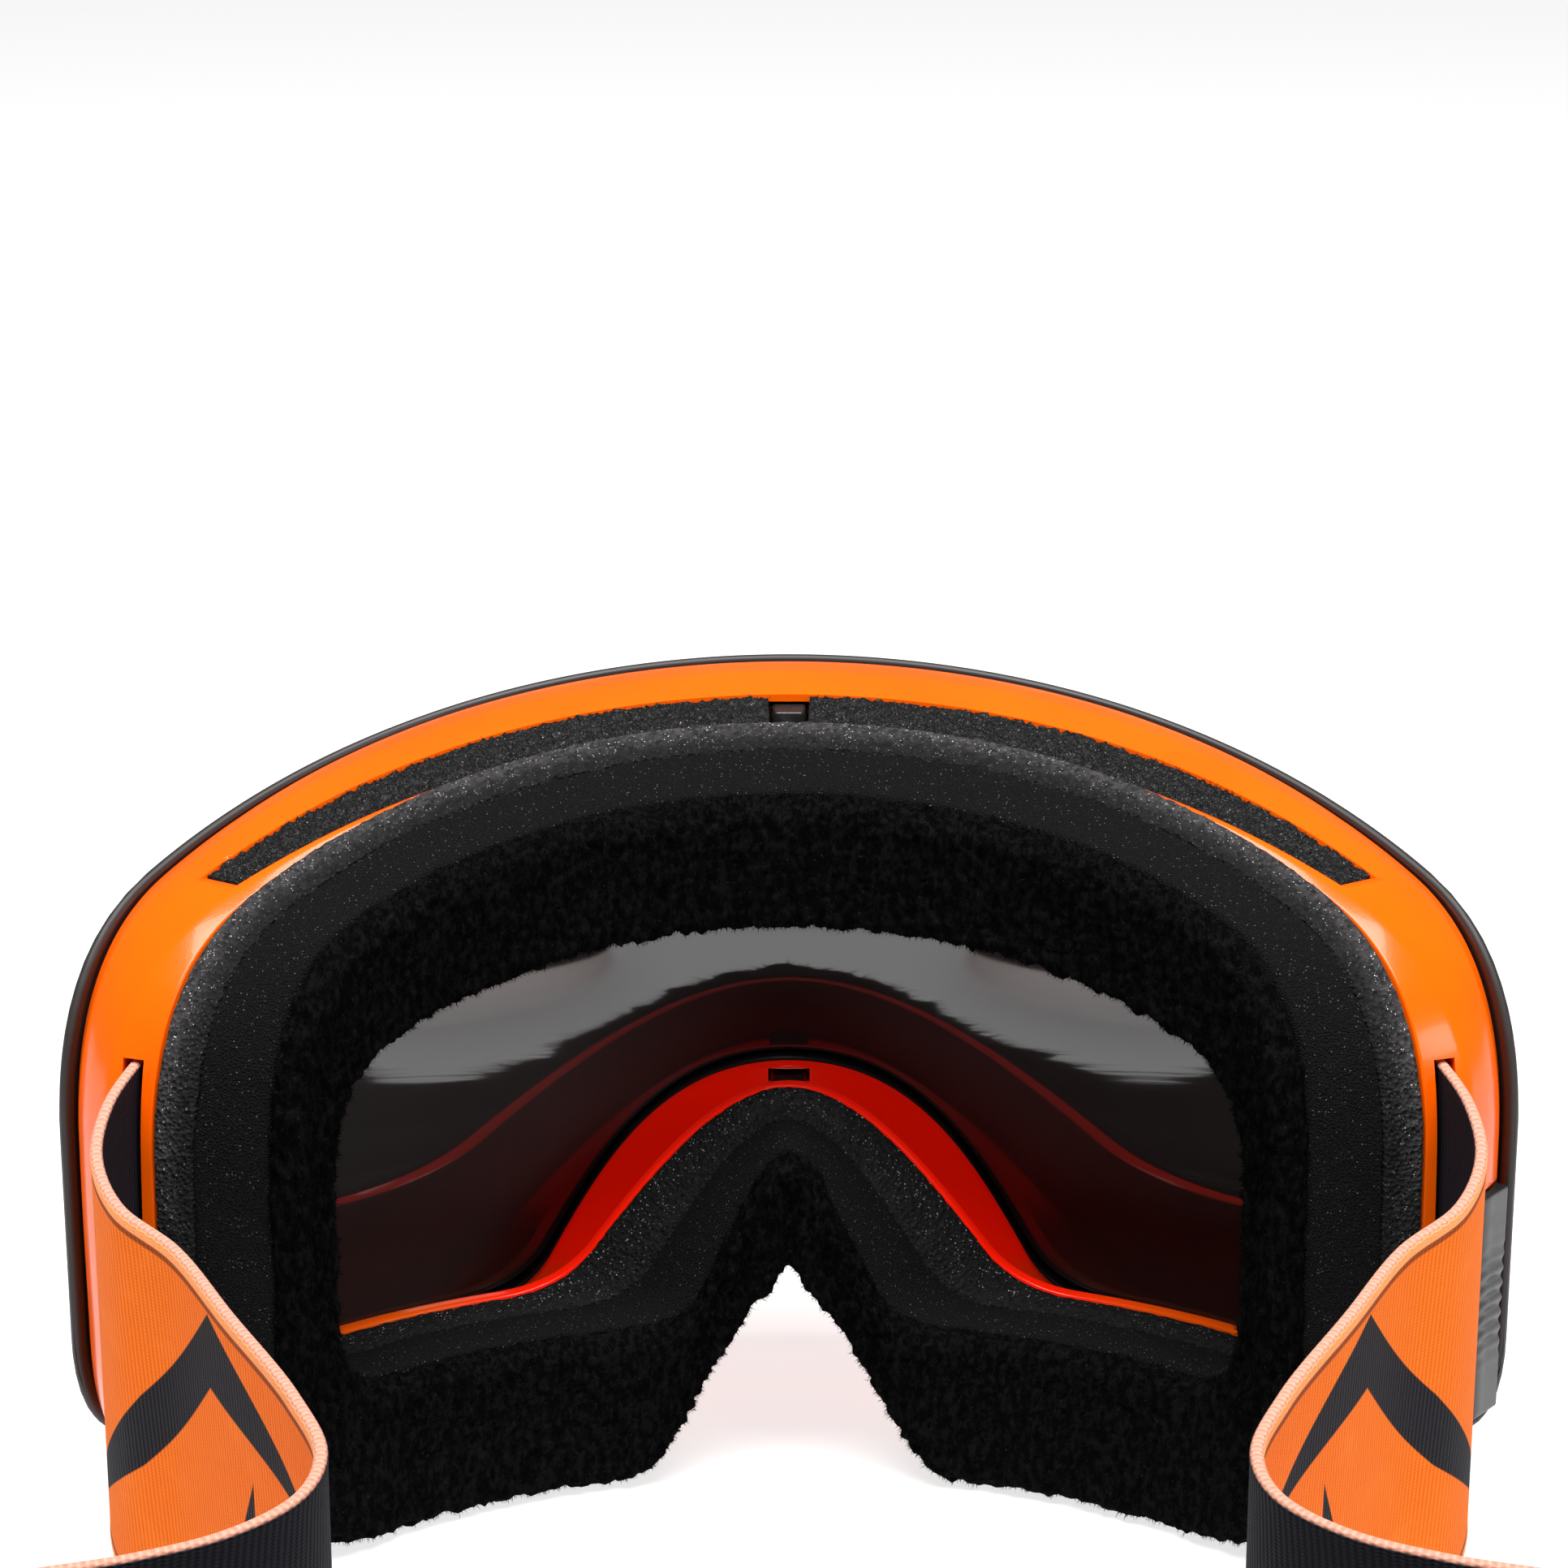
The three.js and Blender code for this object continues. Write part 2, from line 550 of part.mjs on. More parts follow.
// Lens release lever on the wearer's right, on an upright pin in a recess of the frame.
function leverPlan(margin) {
  const along = LEVER_TIP.clone().sub(LEVER_PIVOT).normalize();
  const across = new THREE.Vector2(-along.y, along.x);
  const half = LEVER_HALF_THICKNESS + margin;
  const at = (base, a, b) => base.clone().addScaledVector(along, a).addScaledVector(across, b);
  const plan = [at(LEVER_TIP, margin, -half), at(LEVER_TIP, margin, half)];
  for (let degrees = 90; degrees <= 270; degrees += 20) {
    const angle = THREE.MathUtils.degToRad(degrees);
    plan.push(at(LEVER_PIVOT, half * Math.cos(angle), half * Math.sin(angle)));
  }
  return plan;
}
const leverHole = uprightRod(LEVER_PIVOT, LEVER_PIN_RADIUS + 0.15, 0, 100);
add('release_lever', cut(upright(leverPlan(0), LEVER_BOTTOM, LEVER_TOP), [leverHole]), BLACK_PLASTIC);
add('release_lever_pin', uprightRod(LEVER_PIVOT, LEVER_PIN_RADIUS,
  LEVER_BOTTOM - 2.4, LEVER_TOP + 2.4), STEEL);

// Vent foam strips.
for (const [name, side] of SIDES) {
  const place = (range) => (side > 0 ? range : mirrorRange(range));
  const strip = (range) => ventBand(...place(range), 0.03, 0.87, -0.4, 2);
  add(`vent_foam_top_inner_${name}`, strip(TOP_STRIPS[0]), VENT_FOAM);
  add(`vent_foam_top_outer_${name}`, strip(TOP_STRIPS[1]), VENT_FOAM);
  add(`vent_foam_bottom_${name}`, strip(BOTTOM_VENT), VENT_FOAM);
}

export default goggles;
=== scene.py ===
# Ski goggles put together from the front lens back to the strap's sliders. Sizes are in
# millimetres, except where a comment says degrees; meshes are written in metres.
import math

import bpy
import numpy as np
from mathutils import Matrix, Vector


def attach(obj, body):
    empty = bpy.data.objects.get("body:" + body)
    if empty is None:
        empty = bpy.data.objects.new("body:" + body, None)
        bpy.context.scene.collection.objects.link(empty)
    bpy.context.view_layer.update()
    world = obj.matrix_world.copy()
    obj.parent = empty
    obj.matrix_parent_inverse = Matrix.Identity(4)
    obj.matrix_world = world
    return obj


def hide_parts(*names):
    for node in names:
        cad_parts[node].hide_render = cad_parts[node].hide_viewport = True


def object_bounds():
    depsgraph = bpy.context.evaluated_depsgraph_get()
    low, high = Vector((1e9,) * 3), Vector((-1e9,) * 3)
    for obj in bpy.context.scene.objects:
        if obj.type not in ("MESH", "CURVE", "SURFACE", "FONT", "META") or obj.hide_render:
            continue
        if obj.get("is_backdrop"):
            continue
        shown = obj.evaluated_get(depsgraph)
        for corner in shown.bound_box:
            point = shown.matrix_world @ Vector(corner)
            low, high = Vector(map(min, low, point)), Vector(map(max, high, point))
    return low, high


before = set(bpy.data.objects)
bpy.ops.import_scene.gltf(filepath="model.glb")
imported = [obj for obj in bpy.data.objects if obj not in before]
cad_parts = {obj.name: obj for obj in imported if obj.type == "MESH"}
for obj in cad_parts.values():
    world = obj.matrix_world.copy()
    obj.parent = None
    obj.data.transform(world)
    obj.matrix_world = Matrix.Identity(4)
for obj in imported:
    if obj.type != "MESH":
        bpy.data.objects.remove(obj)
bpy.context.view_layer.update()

# ---- Outer lens ---------------------------------------------------------------------------
# The outer pane is a dark tinted polycarbonate sheet, part of an upright cylinder, cut to an
# outline with a nose notch and ground matt at its edge. The carrier holds it from behind.
MM = 0.001
LENS_RADIUS = 100
LENS_AXIS_Y = -5
LENS_THICKNESS = 1.4
LENS_OUTLINE = dict(
    top=98.8, crown=25, side=64.2, shoulder=10.7, drop=22.5, hip=20, hip_run=14,
    bottom=5.5, foot=19, toe=5, nose_top=37.5, nose_round=8)
# Steps along each stretch of a half outline: crown, shoulder, side, hip, bottom, toe, nose.
STEPS = np.array([16, 6, 4, 5, 6, 3, 7])
FINE = 8
# How much of an inset widens the foot and the round of the nose arch.
FOOT_SHARE = 0.32
ROUND_SHARE = 0.3
# Degrees from the middle up to which the nose's shape keeps its distance across, and at all.
NOSE_KEEPS, NOSE_ENDS = 25, 45


def mix(a, b, share):
    """The value that share of the way from a to b."""
    return a + (b - a) * share


def spaced(controls, count):
    """Count points evenly spaced by length along a Bezier curve, its last point left out."""
    share = np.linspace(0, 1, 401)[:, None]
    points = [np.array(control, float) + 0 * share for control in controls]
    while len(points) > 1:
        points = [mix(a, b, share) for a, b in zip(points, points[1:])]
    length = np.cumsum(np.linalg.norm(np.diff(points[0], axis=0, prepend=points[0][:1]), axis=1))
    wanted = np.linspace(0, length[-1], count + 1)[:-1]
    return np.stack([np.interp(wanted, length, column) for column in points[0].T], axis=1)


def half_outline(o):
    """Degrees and height from the top centre, down the side and up to the nose: a parabola for
    the crown, curves round the shoulder and hip, straight side and bottom, and a nose arch."""
    bend = o["side"] - o["shoulder"]
    bend_z = o["top"] - o["crown"] * (bend / o["side"]) ** 2
    peak_z = bend_z - 2 * o["crown"] * bend * o["shoulder"] / o["side"] ** 2
    base, foot, nose = o["bottom"], o["foot"], o["nose_round"]
    low, high = [mix(np.array([foot, base]), np.array([nose, o["nose_top"]]), t) for t in (0.2, 0.6)]
    side_end = (o["side"], base + o["hip"])
    hip_end = (o["side"] - o["hip_run"], base)
    toe = (foot + o["toe"], base)
    stretches = [
        [(0, o["top"]), (bend / 2, o["top"]), (bend, bend_z)],
        [(bend, bend_z), (o["side"], peak_z), (o["side"], peak_z - o["drop"])],
        [(o["side"], peak_z - o["drop"]), side_end],
        [side_end, (o["side"], base), hip_end],
        [hip_end, toe],
        [toe, (foot, base), low],
        [low, high, (nose, o["nose_top"]), (0, o["nose_top"])],
    ]
    pieces = [spaced(controls, count * FINE) for controls, count in zip(stretches, STEPS)]
    return np.concatenate(pieces + [[[0, o["nose_top"]]]])


def outline(o):
    """The half outline and its mirror image, once round from the top centre by way of +X."""
    half = half_outline(o)
    return np.concatenate([half, half[-2:0:-1] * [-1, 1]])


def inset_lens(distance):
    """The lens outline drawn in by that distance all round."""
    return dict(
        LENS_OUTLINE,
        top=LENS_OUTLINE["top"] - distance,
        side=LENS_OUTLINE["side"] - distance / (LENS_RADIUS * math.pi / 180),
        bottom=LENS_OUTLINE["bottom"] + distance,
        foot=LENS_OUTLINE["foot"] + FOOT_SHARE * distance,
        nose_top=LENS_OUTLINE["nose_top"] + distance,
        nose_round=LENS_OUTLINE["nose_round"] + ROUND_SHARE * distance)


def on_lens(degrees, z, radius):
    """Points on a cylinder about the lens's axis. Beside the nose a smaller radius keeps the
    distance across that it has on the lens; towards the sides it keeps the angle."""
    square = np.radians(degrees)
    straight = np.arcsin(np.clip(LENS_RADIUS / radius * np.sin(square), -1, 1))
    near_nose = np.clip((NOSE_ENDS - np.abs(degrees)) / (NOSE_ENDS - NOSE_KEEPS), 0, 1)
    angle = mix(square, straight, near_nose)
    return np.stack([radius * np.sin(angle), LENS_AXIS_Y - radius * np.cos(angle), z + 0 * angle], -1)


def lens_loop(inset, radius):
    """The lens outline, drawn in, on the cylinder of that radius."""
    points = outline(inset_lens(inset))
    return on_lens(points[:, 0], points[:, 1], radius)


def mark(mesh, key, values):
    """Keeps a number for each of a mesh's points, for its material."""
    numbers = mesh.attributes.new(key, "FLOAT", "POINT")
    numbers.data.foreach_set("value", np.ravel(values).astype(np.float32))


def finish_mesh(name, points, sides, caps=(), attributes=None):
    """An object with a closed mesh, turned to face outwards and shaded smooth, from points in
    millimetres, an array of faces with the same number of corners and a list of end faces."""
    points = np.reshape(points, (-1, 3))
    corners = (points - points.mean(axis=0))[sides]
    fans = [np.sum(corners[:, 0] * np.cross(corners[:, k], corners[:, k + 1]))
            for k in range(1, sides.shape[1] - 1)]
    inside_out = sum(fans) < 0
    faces = sides.tolist() + [list(cap) for cap in caps]
    mesh = bpy.data.meshes.new(name)
    mesh.from_pydata((points * MM).tolist(), [], [f[::-1] for f in faces] if inside_out else faces)
    mesh.shade_smooth()
    for key, values in (attributes or {}).items():
        mark(mesh, key, values)
    piece = bpy.data.objects.new(name, mesh)
    bpy.context.scene.collection.objects.link(piece)
    return piece


def fit(piece, material, body, slot, *stands_for):
    """Gives a piece its material and its body, and hides the CAD nodes that it stands for. The slot is not
    used.
    """
    piece.data.materials.append(material)
    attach(piece, body)
    if stands_for:
        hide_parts(*stands_for)


def grid_quads(rows, columns, wrap_rows=False, wrap_columns=False):
    """The four-sided faces of a grid of points, joined end to end where it wraps."""
    row = np.arange(rows if wrap_rows else rows - 1)[:, None]
    column = np.arange(columns if wrap_columns else columns - 1)[None]
    next_row, next_column = (row + 1) % rows, (column + 1) % columns
    corners = [row * columns + column, row * columns + next_column,
               next_row * columns + next_column, next_row * columns + column]
    return np.stack([corner.ravel() for corner in corners], axis=1)


def line_distance(points, line):
    """Each point's distance from a closed line: the shortest to any of the line's segments."""
    along = np.roll(line, -1, 0) - line
    apart = points[..., None, :] - line
    share = np.clip(np.sum(apart * along, -1) / np.sum(along ** 2, -1), 0, 1)
    return np.min(np.linalg.norm(apart - share[..., None] * along, axis=-1), axis=-1)


def pane(inset, radius, thickness, edge):
    """A curved pane as one closed surface. Across, columns run from side to side, closer at the
    sides; up, each runs from the lower outline to the upper one, closer at both. Front and back
    draw together near the outline as a quarter circle of the edge's radius, ground matt."""
    half = half_outline(inset_lens(inset))
    split = (STEPS[0] + STEPS[1]) * FINE
    upper, lower = half[:split + 1], half[split + STEPS[2] * FINE:][::-1]
    count_across, count_up, evenness = 180, 40, 0.6
    across = upper[-1, 0] * np.sin(np.linspace(-1, 1, 2 * count_across + 1) * math.pi / 2)
    across = mix(across, np.linspace(across[0], across[-1], across.size), evenness)
    top = np.interp(np.abs(across), upper[:, 0], upper[:, 1])
    base = np.interp(np.abs(across), lower[:, 0], lower[:, 1])
    up = 0.5 - 0.5 * np.cos(np.linspace(0, 1, count_up + 1) * math.pi)
    degrees = across[:, None] + 0 * up
    z = mix(base[:, None], top[:, None], up)
    flat = np.stack([degrees * math.pi / 180 * radius, z], -1)
    edge_line = outline(inset_lens(inset)) * [math.pi / 180 * radius, 1]
    reach = line_distance(flat, edge_line[::4])
    border = np.zeros_like(reach, bool)
    border[[0, -1]] = True
    border[:, [0, -1]] = True
    inside = np.clip(edge - np.where(border, 0, reach), 0, edge)
    dip = edge - np.sqrt(edge ** 2 - inside ** 2)
    half_thick = thickness / 2
    dip = np.where(border, half_thick, np.minimum(dip, half_thick))
    front = on_lens(degrees, z, radius - dip)
    back = on_lens(degrees, z, radius - thickness + dip)
    rows, columns = reach.shape
    quads = grid_quads(rows, columns)
    number = np.arange(rows * columns).reshape(rows, columns)
    behind = np.where(border, number, number + rows * columns).ravel()
    quads = np.concatenate([quads, behind[quads][:, ::-1]])
    points = np.concatenate([front.reshape(-1, 3), back.reshape(-1, 3)])
    used, quads = np.unique(quads, return_inverse=True)
    matt_reach = 1.6
    cut_edge = np.tile(np.clip(matt_reach - reach / edge, 0, 1).ravel(), 2)
    return points[used], quads.reshape(-1, 4), (), {"cut_edge": cut_edge[used]}


class Signal:
    """A socket of a material's nodes. Arithmetic on it adds Math nodes."""

    def __init__(self, socket, finish):
        self.socket = socket
        self.finish = finish

    def math(self, operation, other=0.0, turned=False):
        first, second = (other, self) if turned else (self, other)
        return self.finish.node("ShaderNodeMath", {"operation": operation}, {0: first, 1: second})

    def __add__(self, other):
        return self.math("ADD", other)

    def __sub__(self, other):
        return self.math("SUBTRACT", other)

    def __rsub__(self, other):
        return self.math("SUBTRACT", other, turned=True)

    def __mul__(self, other):
        return self.math("MULTIPLY", other)

    def __abs__(self):
        return self.math("ABSOLUTE")

    __radd__ = __add__
    __rmul__ = __mul__

    def most(self, other):
        return self.math("MAXIMUM", other)

    def brightness(self):
        """A colour's brightness, as a number."""
        return self.math("MULTIPLY", 1.0)

    def between(self, low, high):
        """0 below low and 1 above high, eased between; turned over if low is the larger."""
        return self.finish.node(
            "ShaderNodeMapRange", {"interpolation_type": "SMOOTHSTEP"},
            {"Value": self, "From Min": low, "From Max": high})


class Finish:
    """A material whose nodes are added one at a time."""

    def __init__(self, name):
        self.material = bpy.data.materials.new(name)
        self.material.use_nodes = True
        self.tree = self.material.node_tree
        self.tree.nodes.clear()

    def node(self, kind, settings=None, sockets=None, output=0):
        """Adds a node of a kind, sets it, fills its sockets with values or links, and returns
        one of its outputs."""
        made = self.tree.nodes.new(kind)
        for key, value in (settings or {}).items():
            setattr(made, key, value)
        for key, value in (sockets or {}).items():
            if isinstance(value, Signal):
                self.tree.links.new(value.socket, made.inputs[key])
            elif isinstance(value, tuple) and made.inputs[key].type == "RGBA":
                made.inputs[key].default_value = (*value, 1)
            else:
                made.inputs[key].default_value = value
        return Signal(made.outputs[output], self)

    def place(self, scale=1.0):
        """Object coordinates in millimetres, each divided by its scale."""
        coordinates = self.node("ShaderNodeTexCoord", output="Object")
        factors = scale if isinstance(scale, tuple) else (scale,) * 3
        size = tuple(1 / (MM * factor) for factor in factors)
        return self.node("ShaderNodeMapping", None, {"Vector": coordinates, "Scale": size})

    def along(self, axis):
        """The object coordinate along X, Y or Z, in millimetres."""
        return self.node("ShaderNodeSeparateXYZ", None, {"Vector": self.place()}, axis)

    def marked(self, key):
        """A number kept at the mesh's points."""
        return self.node("ShaderNodeAttribute", {"attribute_name": key}, output="Fac")

    def noise(self, size, detail=2.0, roughness=0.5):
        """Soft noise from 0 to 1 whose lumps are about that size in millimetres."""
        return self.node("ShaderNodeTexNoise", None, {
            "Vector": self.place(size), "Scale": 1.0, "Detail": detail, "Roughness": roughness})

    def cells(self, size, feature="F1", output="Distance"):
        """Distance to the nearest of scattered cell centres, or to the walls between them, or
        each cell's own colour."""
        return self.node("ShaderNodeTexVoronoi", {"feature": feature}, {
            "Vector": self.place(size), "Scale": 1.0}, output)

    def blend(self, share, first, second):
        """A colour that goes from the first to the second as share goes from 0 to 1."""
        return self.node("ShaderNodeMix", {"data_type": "RGBA"}, {0: share, 6: first, 7: second}, 2)

    def bump(self, height, depth, under=None):
        """A normal raised by a height from 0 to 1 times a depth in millimetres."""
        sockets = {"Strength": 1.0, "Distance": depth * MM, "Height": height}
        if under:
            sockets["Normal"] = under
        return self.node("ShaderNodeBump", None, sockets)

    def skin(self, sockets):
        """Ends the material in one Principled surface with these sockets, and returns it."""
        surface = self.node("ShaderNodeBsdfPrincipled", None, sockets)
        output = self.tree.nodes.new("ShaderNodeOutputMaterial")
        self.tree.links.new(surface.socket, output.inputs["Surface"])
        return self.material


tint = Finish("tinted_lens")
wipe_marks = tint.noise((30, 30, 9), 4)
cut_edge = tint.marked("cut_edge")
tinted_lens = tint.skin({
    "Base Color": tint.blend(wipe_marks, (0.012, 0.010, 0.010), (0.02, 0.015, 0.014)),
    "Roughness": cut_edge * 0.5 + wipe_marks * 0.05 + 0.03,
    "IOR": 1.5,
    "Coat Weight": 0.6 - cut_edge * 0.6,
    "Coat IOR": 1.6,
    "Coat Roughness": 0.03})
OUTER_LENS_EDGE = 0.65
fit(finish_mesh("outer_lens_pane", *pane(0, LENS_RADIUS, LENS_THICKNESS, OUTER_LENS_EDGE)),
    tinted_lens, "lens_module", "outer_lens", "outer_lens")

# ---- Carrier and its fingers ------------------------------------------------------------------
# The carrier is a moulded nylon ring that holds both panes. Four fingers on it reach back
# through notches in the soft frame and hold the lens in it.
GAP = 0.3
LENS_STACK = 6.7
RIM_INSET = 0.6
RIM_WALL = 2.1
LEDGE_WIDTH = 3.5
GASKET_WIDTH = 1.8
CARRIER_FRONT = LENS_RADIUS - LENS_THICKNESS - GAP
CARRIER_REAR = LENS_RADIUS - LENS_STACK
CARRIER_INSET = RIM_INSET + RIM_WALL + GAP
CARRIER_WINDOW = CARRIER_INSET + LEDGE_WIDTH
SATIN_BLACK = (0.010, 0.010, 0.011)


def rounded(loops, radii, steps=3):
    """Rounds a ring's section. Each corner gives way to a parabola that leaves the two sides at
    the corner's radius away from it, or at under half a side that is shorter."""
    loops = np.array(loops)
    radii = np.broadcast_to(radii, len(loops))[:, None, None]
    ends = []
    for turn in (1, -1):
        side = np.roll(loops, turn, axis=0) - loops
        length = np.linalg.norm(side[..., :3], axis=-1, keepdims=True)
        ends.append(loops + side * np.minimum(radii / np.maximum(length, 1e-6), 0.45))
    share = np.linspace(0, 1, steps + 1)[None, :, None, None]
    start, corner, end = (points[:, None] for points in (ends[0], loops, ends[1]))
    curve = mix(mix(start, corner, share), mix(corner, end, share), share)
    return curve.reshape(-1, *loops.shape[1:])


def ring(loops):
    """Points and faces of a closed ring whose section joins one point of every loop."""
    count, around = np.shape(loops)[:2]
    return np.array(loops)[..., :3], grid_quads(count, around, True, True)


def lens_ring(inset_from, inset_to, outer, inner, edge):
    """A ring of the lens's outline between two insets and two radii, with rounded edges."""
    loops = [lens_loop(inset_from, outer), lens_loop(inset_to, outer),
             lens_loop(inset_to, inner), lens_loop(inset_from, inner)]
    return ring(rounded(loops, edge))


def rod(loops):
    """Points, faces and two end faces of a bar whose section joins one point of every loop."""
    count, length = np.shape(loops)[:2]
    rows = np.arange(count) * length
    return (np.array(loops)[..., :3], grid_quads(count, length, True, False),
            [rows, rows[::-1] + length - 1])


nylon = Finish("satin_nylon")
grain = nylon.noise(0.25, 3)
rub = nylon.noise((6, 6, 3), 4).between(0.45, 0.75)
satin_nylon = nylon.skin({
    "Base Color": nylon.blend(rub, SATIN_BLACK, (0.022, 0.022, 0.023)),
    "Roughness": rub * 0.12 + 0.34,
    "Normal": nylon.bump(grain, 0.03)})
CARRIER_EDGE = 0.5
fit(finish_mesh("carrier_ring", *lens_ring(
    CARRIER_INSET, CARRIER_WINDOW, CARRIER_FRONT, CARRIER_REAR, CARRIER_EDGE)),
    satin_nylon, "lens_module", "hard_black", "lens_carrier")

TAB_HALF_WIDTH = 2.5
TAB_TAPER = 0.45
TAB_EDGE = 0.55
# Each finger's name, distance across, lowest and highest point, and how far back it reaches.
TABS = [("centre", 0, 91, 95.6, 10), ("left", 45, 85.2, 89.8, 6.5), ("right", -45, 85.2, 89.8, 6.5),
        ("nose", 0, 40.7, 43, 10)]


def rounded_rectangle(half_a, half_b, radius, steps=4):
    """Points round a rectangle whose corners are quarter circles."""
    turn = np.linspace(0, math.pi / 2, steps + 1)
    quarters = [turn + k * math.pi / 2 for k in range(4)]
    signs = [(1, 1), (-1, 1), (-1, -1), (1, -1)]
    corners = [np.stack([a * (half_a - radius) + radius * np.cos(q),
                         b * (half_b - radius) + radius * np.sin(q)], 1)
               for (a, b), q in zip(signs, quarters)]
    return np.concatenate(corners)


def finger(x, low, high, reach):
    """A finger that runs back from the carrier's curved back: a rounded rectangle that narrows
    towards its free end, whose last edge is a quarter circle."""
    half_height = (high - low) / 2
    section = rounded_rectangle(TAB_HALF_WIDTH, half_height, TAB_EDGE)
    turn = np.linspace(0, math.pi / 2, 5)
    share = np.concatenate([[0, 0.5], 1 - TAB_EDGE / reach * (1 - np.sin(turn))])
    drawn_in = np.concatenate([[0, TAB_TAPER / 2], TAB_TAPER + TAB_EDGE * (1 - np.cos(turn))])
    across = x + section[:, :1] * (1 - drawn_in / TAB_HALF_WIDTH)
    z = (low + high) / 2 + section[:, 1:] * (1 - drawn_in / (2 * half_height))
    start = LENS_AXIS_Y - np.sqrt((CARRIER_REAR - GAP) ** 2 - across ** 2)
    rear = LENS_AXIS_Y - math.sqrt(CARRIER_REAR ** 2 - x ** 2) + reach
    return rod(np.stack([across, mix(start, rear, share), z], -1))


for place, x, low, high, reach in TABS:
    fit(finish_mesh("finger_" + place, *finger(x, low, high, reach)),
        satin_nylon, "lens_module", "hard_black", "carrier_tab_" + place)

# ---- Gasket -----------------------------------------------------------------------------------
# A band of closed-cell foam rubber, glued inside the carrier, keeps the two panes apart and
# seals the air between them.
INNER_LENS_SETBACK = 2.7
INNER_LENS_FRONT = CARRIER_REAR + INNER_LENS_SETBACK
GASKET_EDGE = 0.3
rubber = Finish("foam_rubber")
pores = rubber.cells(0.22)
foam_rubber = rubber.skin({
    "Base Color": rubber.blend(pores, (0.008, 0.008, 0.008), (0.022, 0.022, 0.022)),
    "Roughness": 0.75,
    "Normal": rubber.bump(pores, 0.06)})
gasket = finish_mesh("gasket_band", *lens_ring(
    CARRIER_WINDOW + GAP, CARRIER_WINDOW + GASKET_WIDTH, CARRIER_FRONT, INNER_LENS_FRONT + GAP,
    GASKET_EDGE))
fit(gasket, foam_rubber, "lens_module", "gasket", "lens_gasket")

# ---- Inner lens -------------------------------------------------------------------------------
# The inner pane is thinner and has a hard anti-fog coat, glossy from behind, where it shows
# the dark outer lens through it.
INNER_LENS_THICKNESS = 1
INNER_LENS_EDGE = 0.3
COATED_IOR = 1.88
coat = Finish("coated_inner_lens")
haze = coat.noise((14, 14, 8), 4)
coated_lens = coat.skin({
    "Base Color": coat.blend(haze, (0.042, 0.040, 0.039), (0.054, 0.051, 0.050)),
    "Roughness": haze * 0.03 + 0.015,
    "IOR": COATED_IOR})
fit(finish_mesh("inner_lens_pane", *pane(
    CARRIER_WINDOW + GAP, INNER_LENS_FRONT, INNER_LENS_THICKNESS, INNER_LENS_EDGE)),
    coated_lens, "lens_module", "inner_lens", "inner_lens")

# ---- Frame ------------------------------------------------------------------------------------
# The frame is one soft, glossy orange moulding: a rim round the lens with a ledge behind it, a
# shell that narrows back to the face, and a flange that the foam is glued to. Vent windows are
# moulded along the top and the bottom, and slots for the strap in its wings.
FACE_HALF_WIDTH = 67
FACE_DEPTH = 51
FACE_FRONT_Y = -65
FACE_LEAN = 0.06
FACE_TOP_Z = 96
FLANGE_REAR = 17
FLANGE_FRONT = 19
WING_REACH = 6.3
LEDGE_THICKNESS = 2
SHELL_WALL = 2.4
SHELL_BULGE = 0.8
RIDGE_HEIGHT = 0.42
RIM_SIDE_NARROWING = 0.013
FLANGE_OUTLINE = dict(
    top=94.4, crown=20, side=68.5, shoulder=15, drop=22, hip=22, hip_run=16,
    bottom=0, foot=20.5, toe=5, nose_top=36.5, nose_round=7)
FLANGE_WINDOW = dict(
    top=79, crown=14, side=57, shoulder=10, drop=18, hip=16, hip_run=12,
    bottom=21.2, foot=21.8, toe=6, nose_top=47.4, nose_round=6.5)


def on_face(degrees, z, depth):
    """Points in front of the face, an upright ellipse that leans back downwards: depth is
    measured square to the ellipse."""
    angle = np.radians(degrees)
    out = np.stack([FACE_DEPTH * np.sin(angle), FACE_HALF_WIDTH * np.cos(angle)])
    out = out / np.linalg.norm(out, axis=0) * depth
    x = FACE_HALF_WIDTH * np.sin(angle) + out[0]
    y = FACE_FRONT_Y + FACE_DEPTH * (1 - np.cos(angle)) - out[1]
    return np.stack([x, y + FACE_LEAN * (FACE_TOP_Z - z), z], -1)


def face_loop(shape, depth):
    """An outline laid at a depth in front of the face."""
    points = outline(shape)
    return on_face(points[:, 0], points[:, 1], depth)


def unit(vectors):
    """Vectors of the same directions and of length 1."""
    return vectors / np.linalg.norm(vectors, axis=-1, keepdims=True)


flange_line = outline(FLANGE_OUTLINE)
wing = WING_REACH * np.abs(flange_line[:, 0] / FLANGE_OUTLINE["side"]) ** 5
flange_edge = on_face(flange_line[:, 0], flange_line[:, 1], FLANGE_REAR + wing)
flange_window = face_loop(FLANGE_WINDOW, FLANGE_REAR)
flange_window_front = face_loop(FLANGE_WINDOW, FLANGE_FRONT)
inward = unit(flange_window - flange_edge)
forward = unit(flange_window_front - flange_window)
rim_line = outline(inset_lens(RIM_INSET))
to_side = np.abs(rim_line[:, 0] / LENS_OUTLINE["side"])
rim_front = on_lens(rim_line[:, 0] * (1 - RIM_SIDE_NARROWING * to_side ** 4), rim_line[:, 1], CARRIER_FRONT)
shell_middle = mix(rim_front, flange_edge, 0.55) - SHELL_BULGE * inward
ridge = mix(rim_front, shell_middle, 0.42) - RIDGE_HEIGHT * inward
ledge_radius = CARRIER_REAR - GAP
ledge_inset = RIM_INSET + RIM_WALL + LEDGE_WIDTH
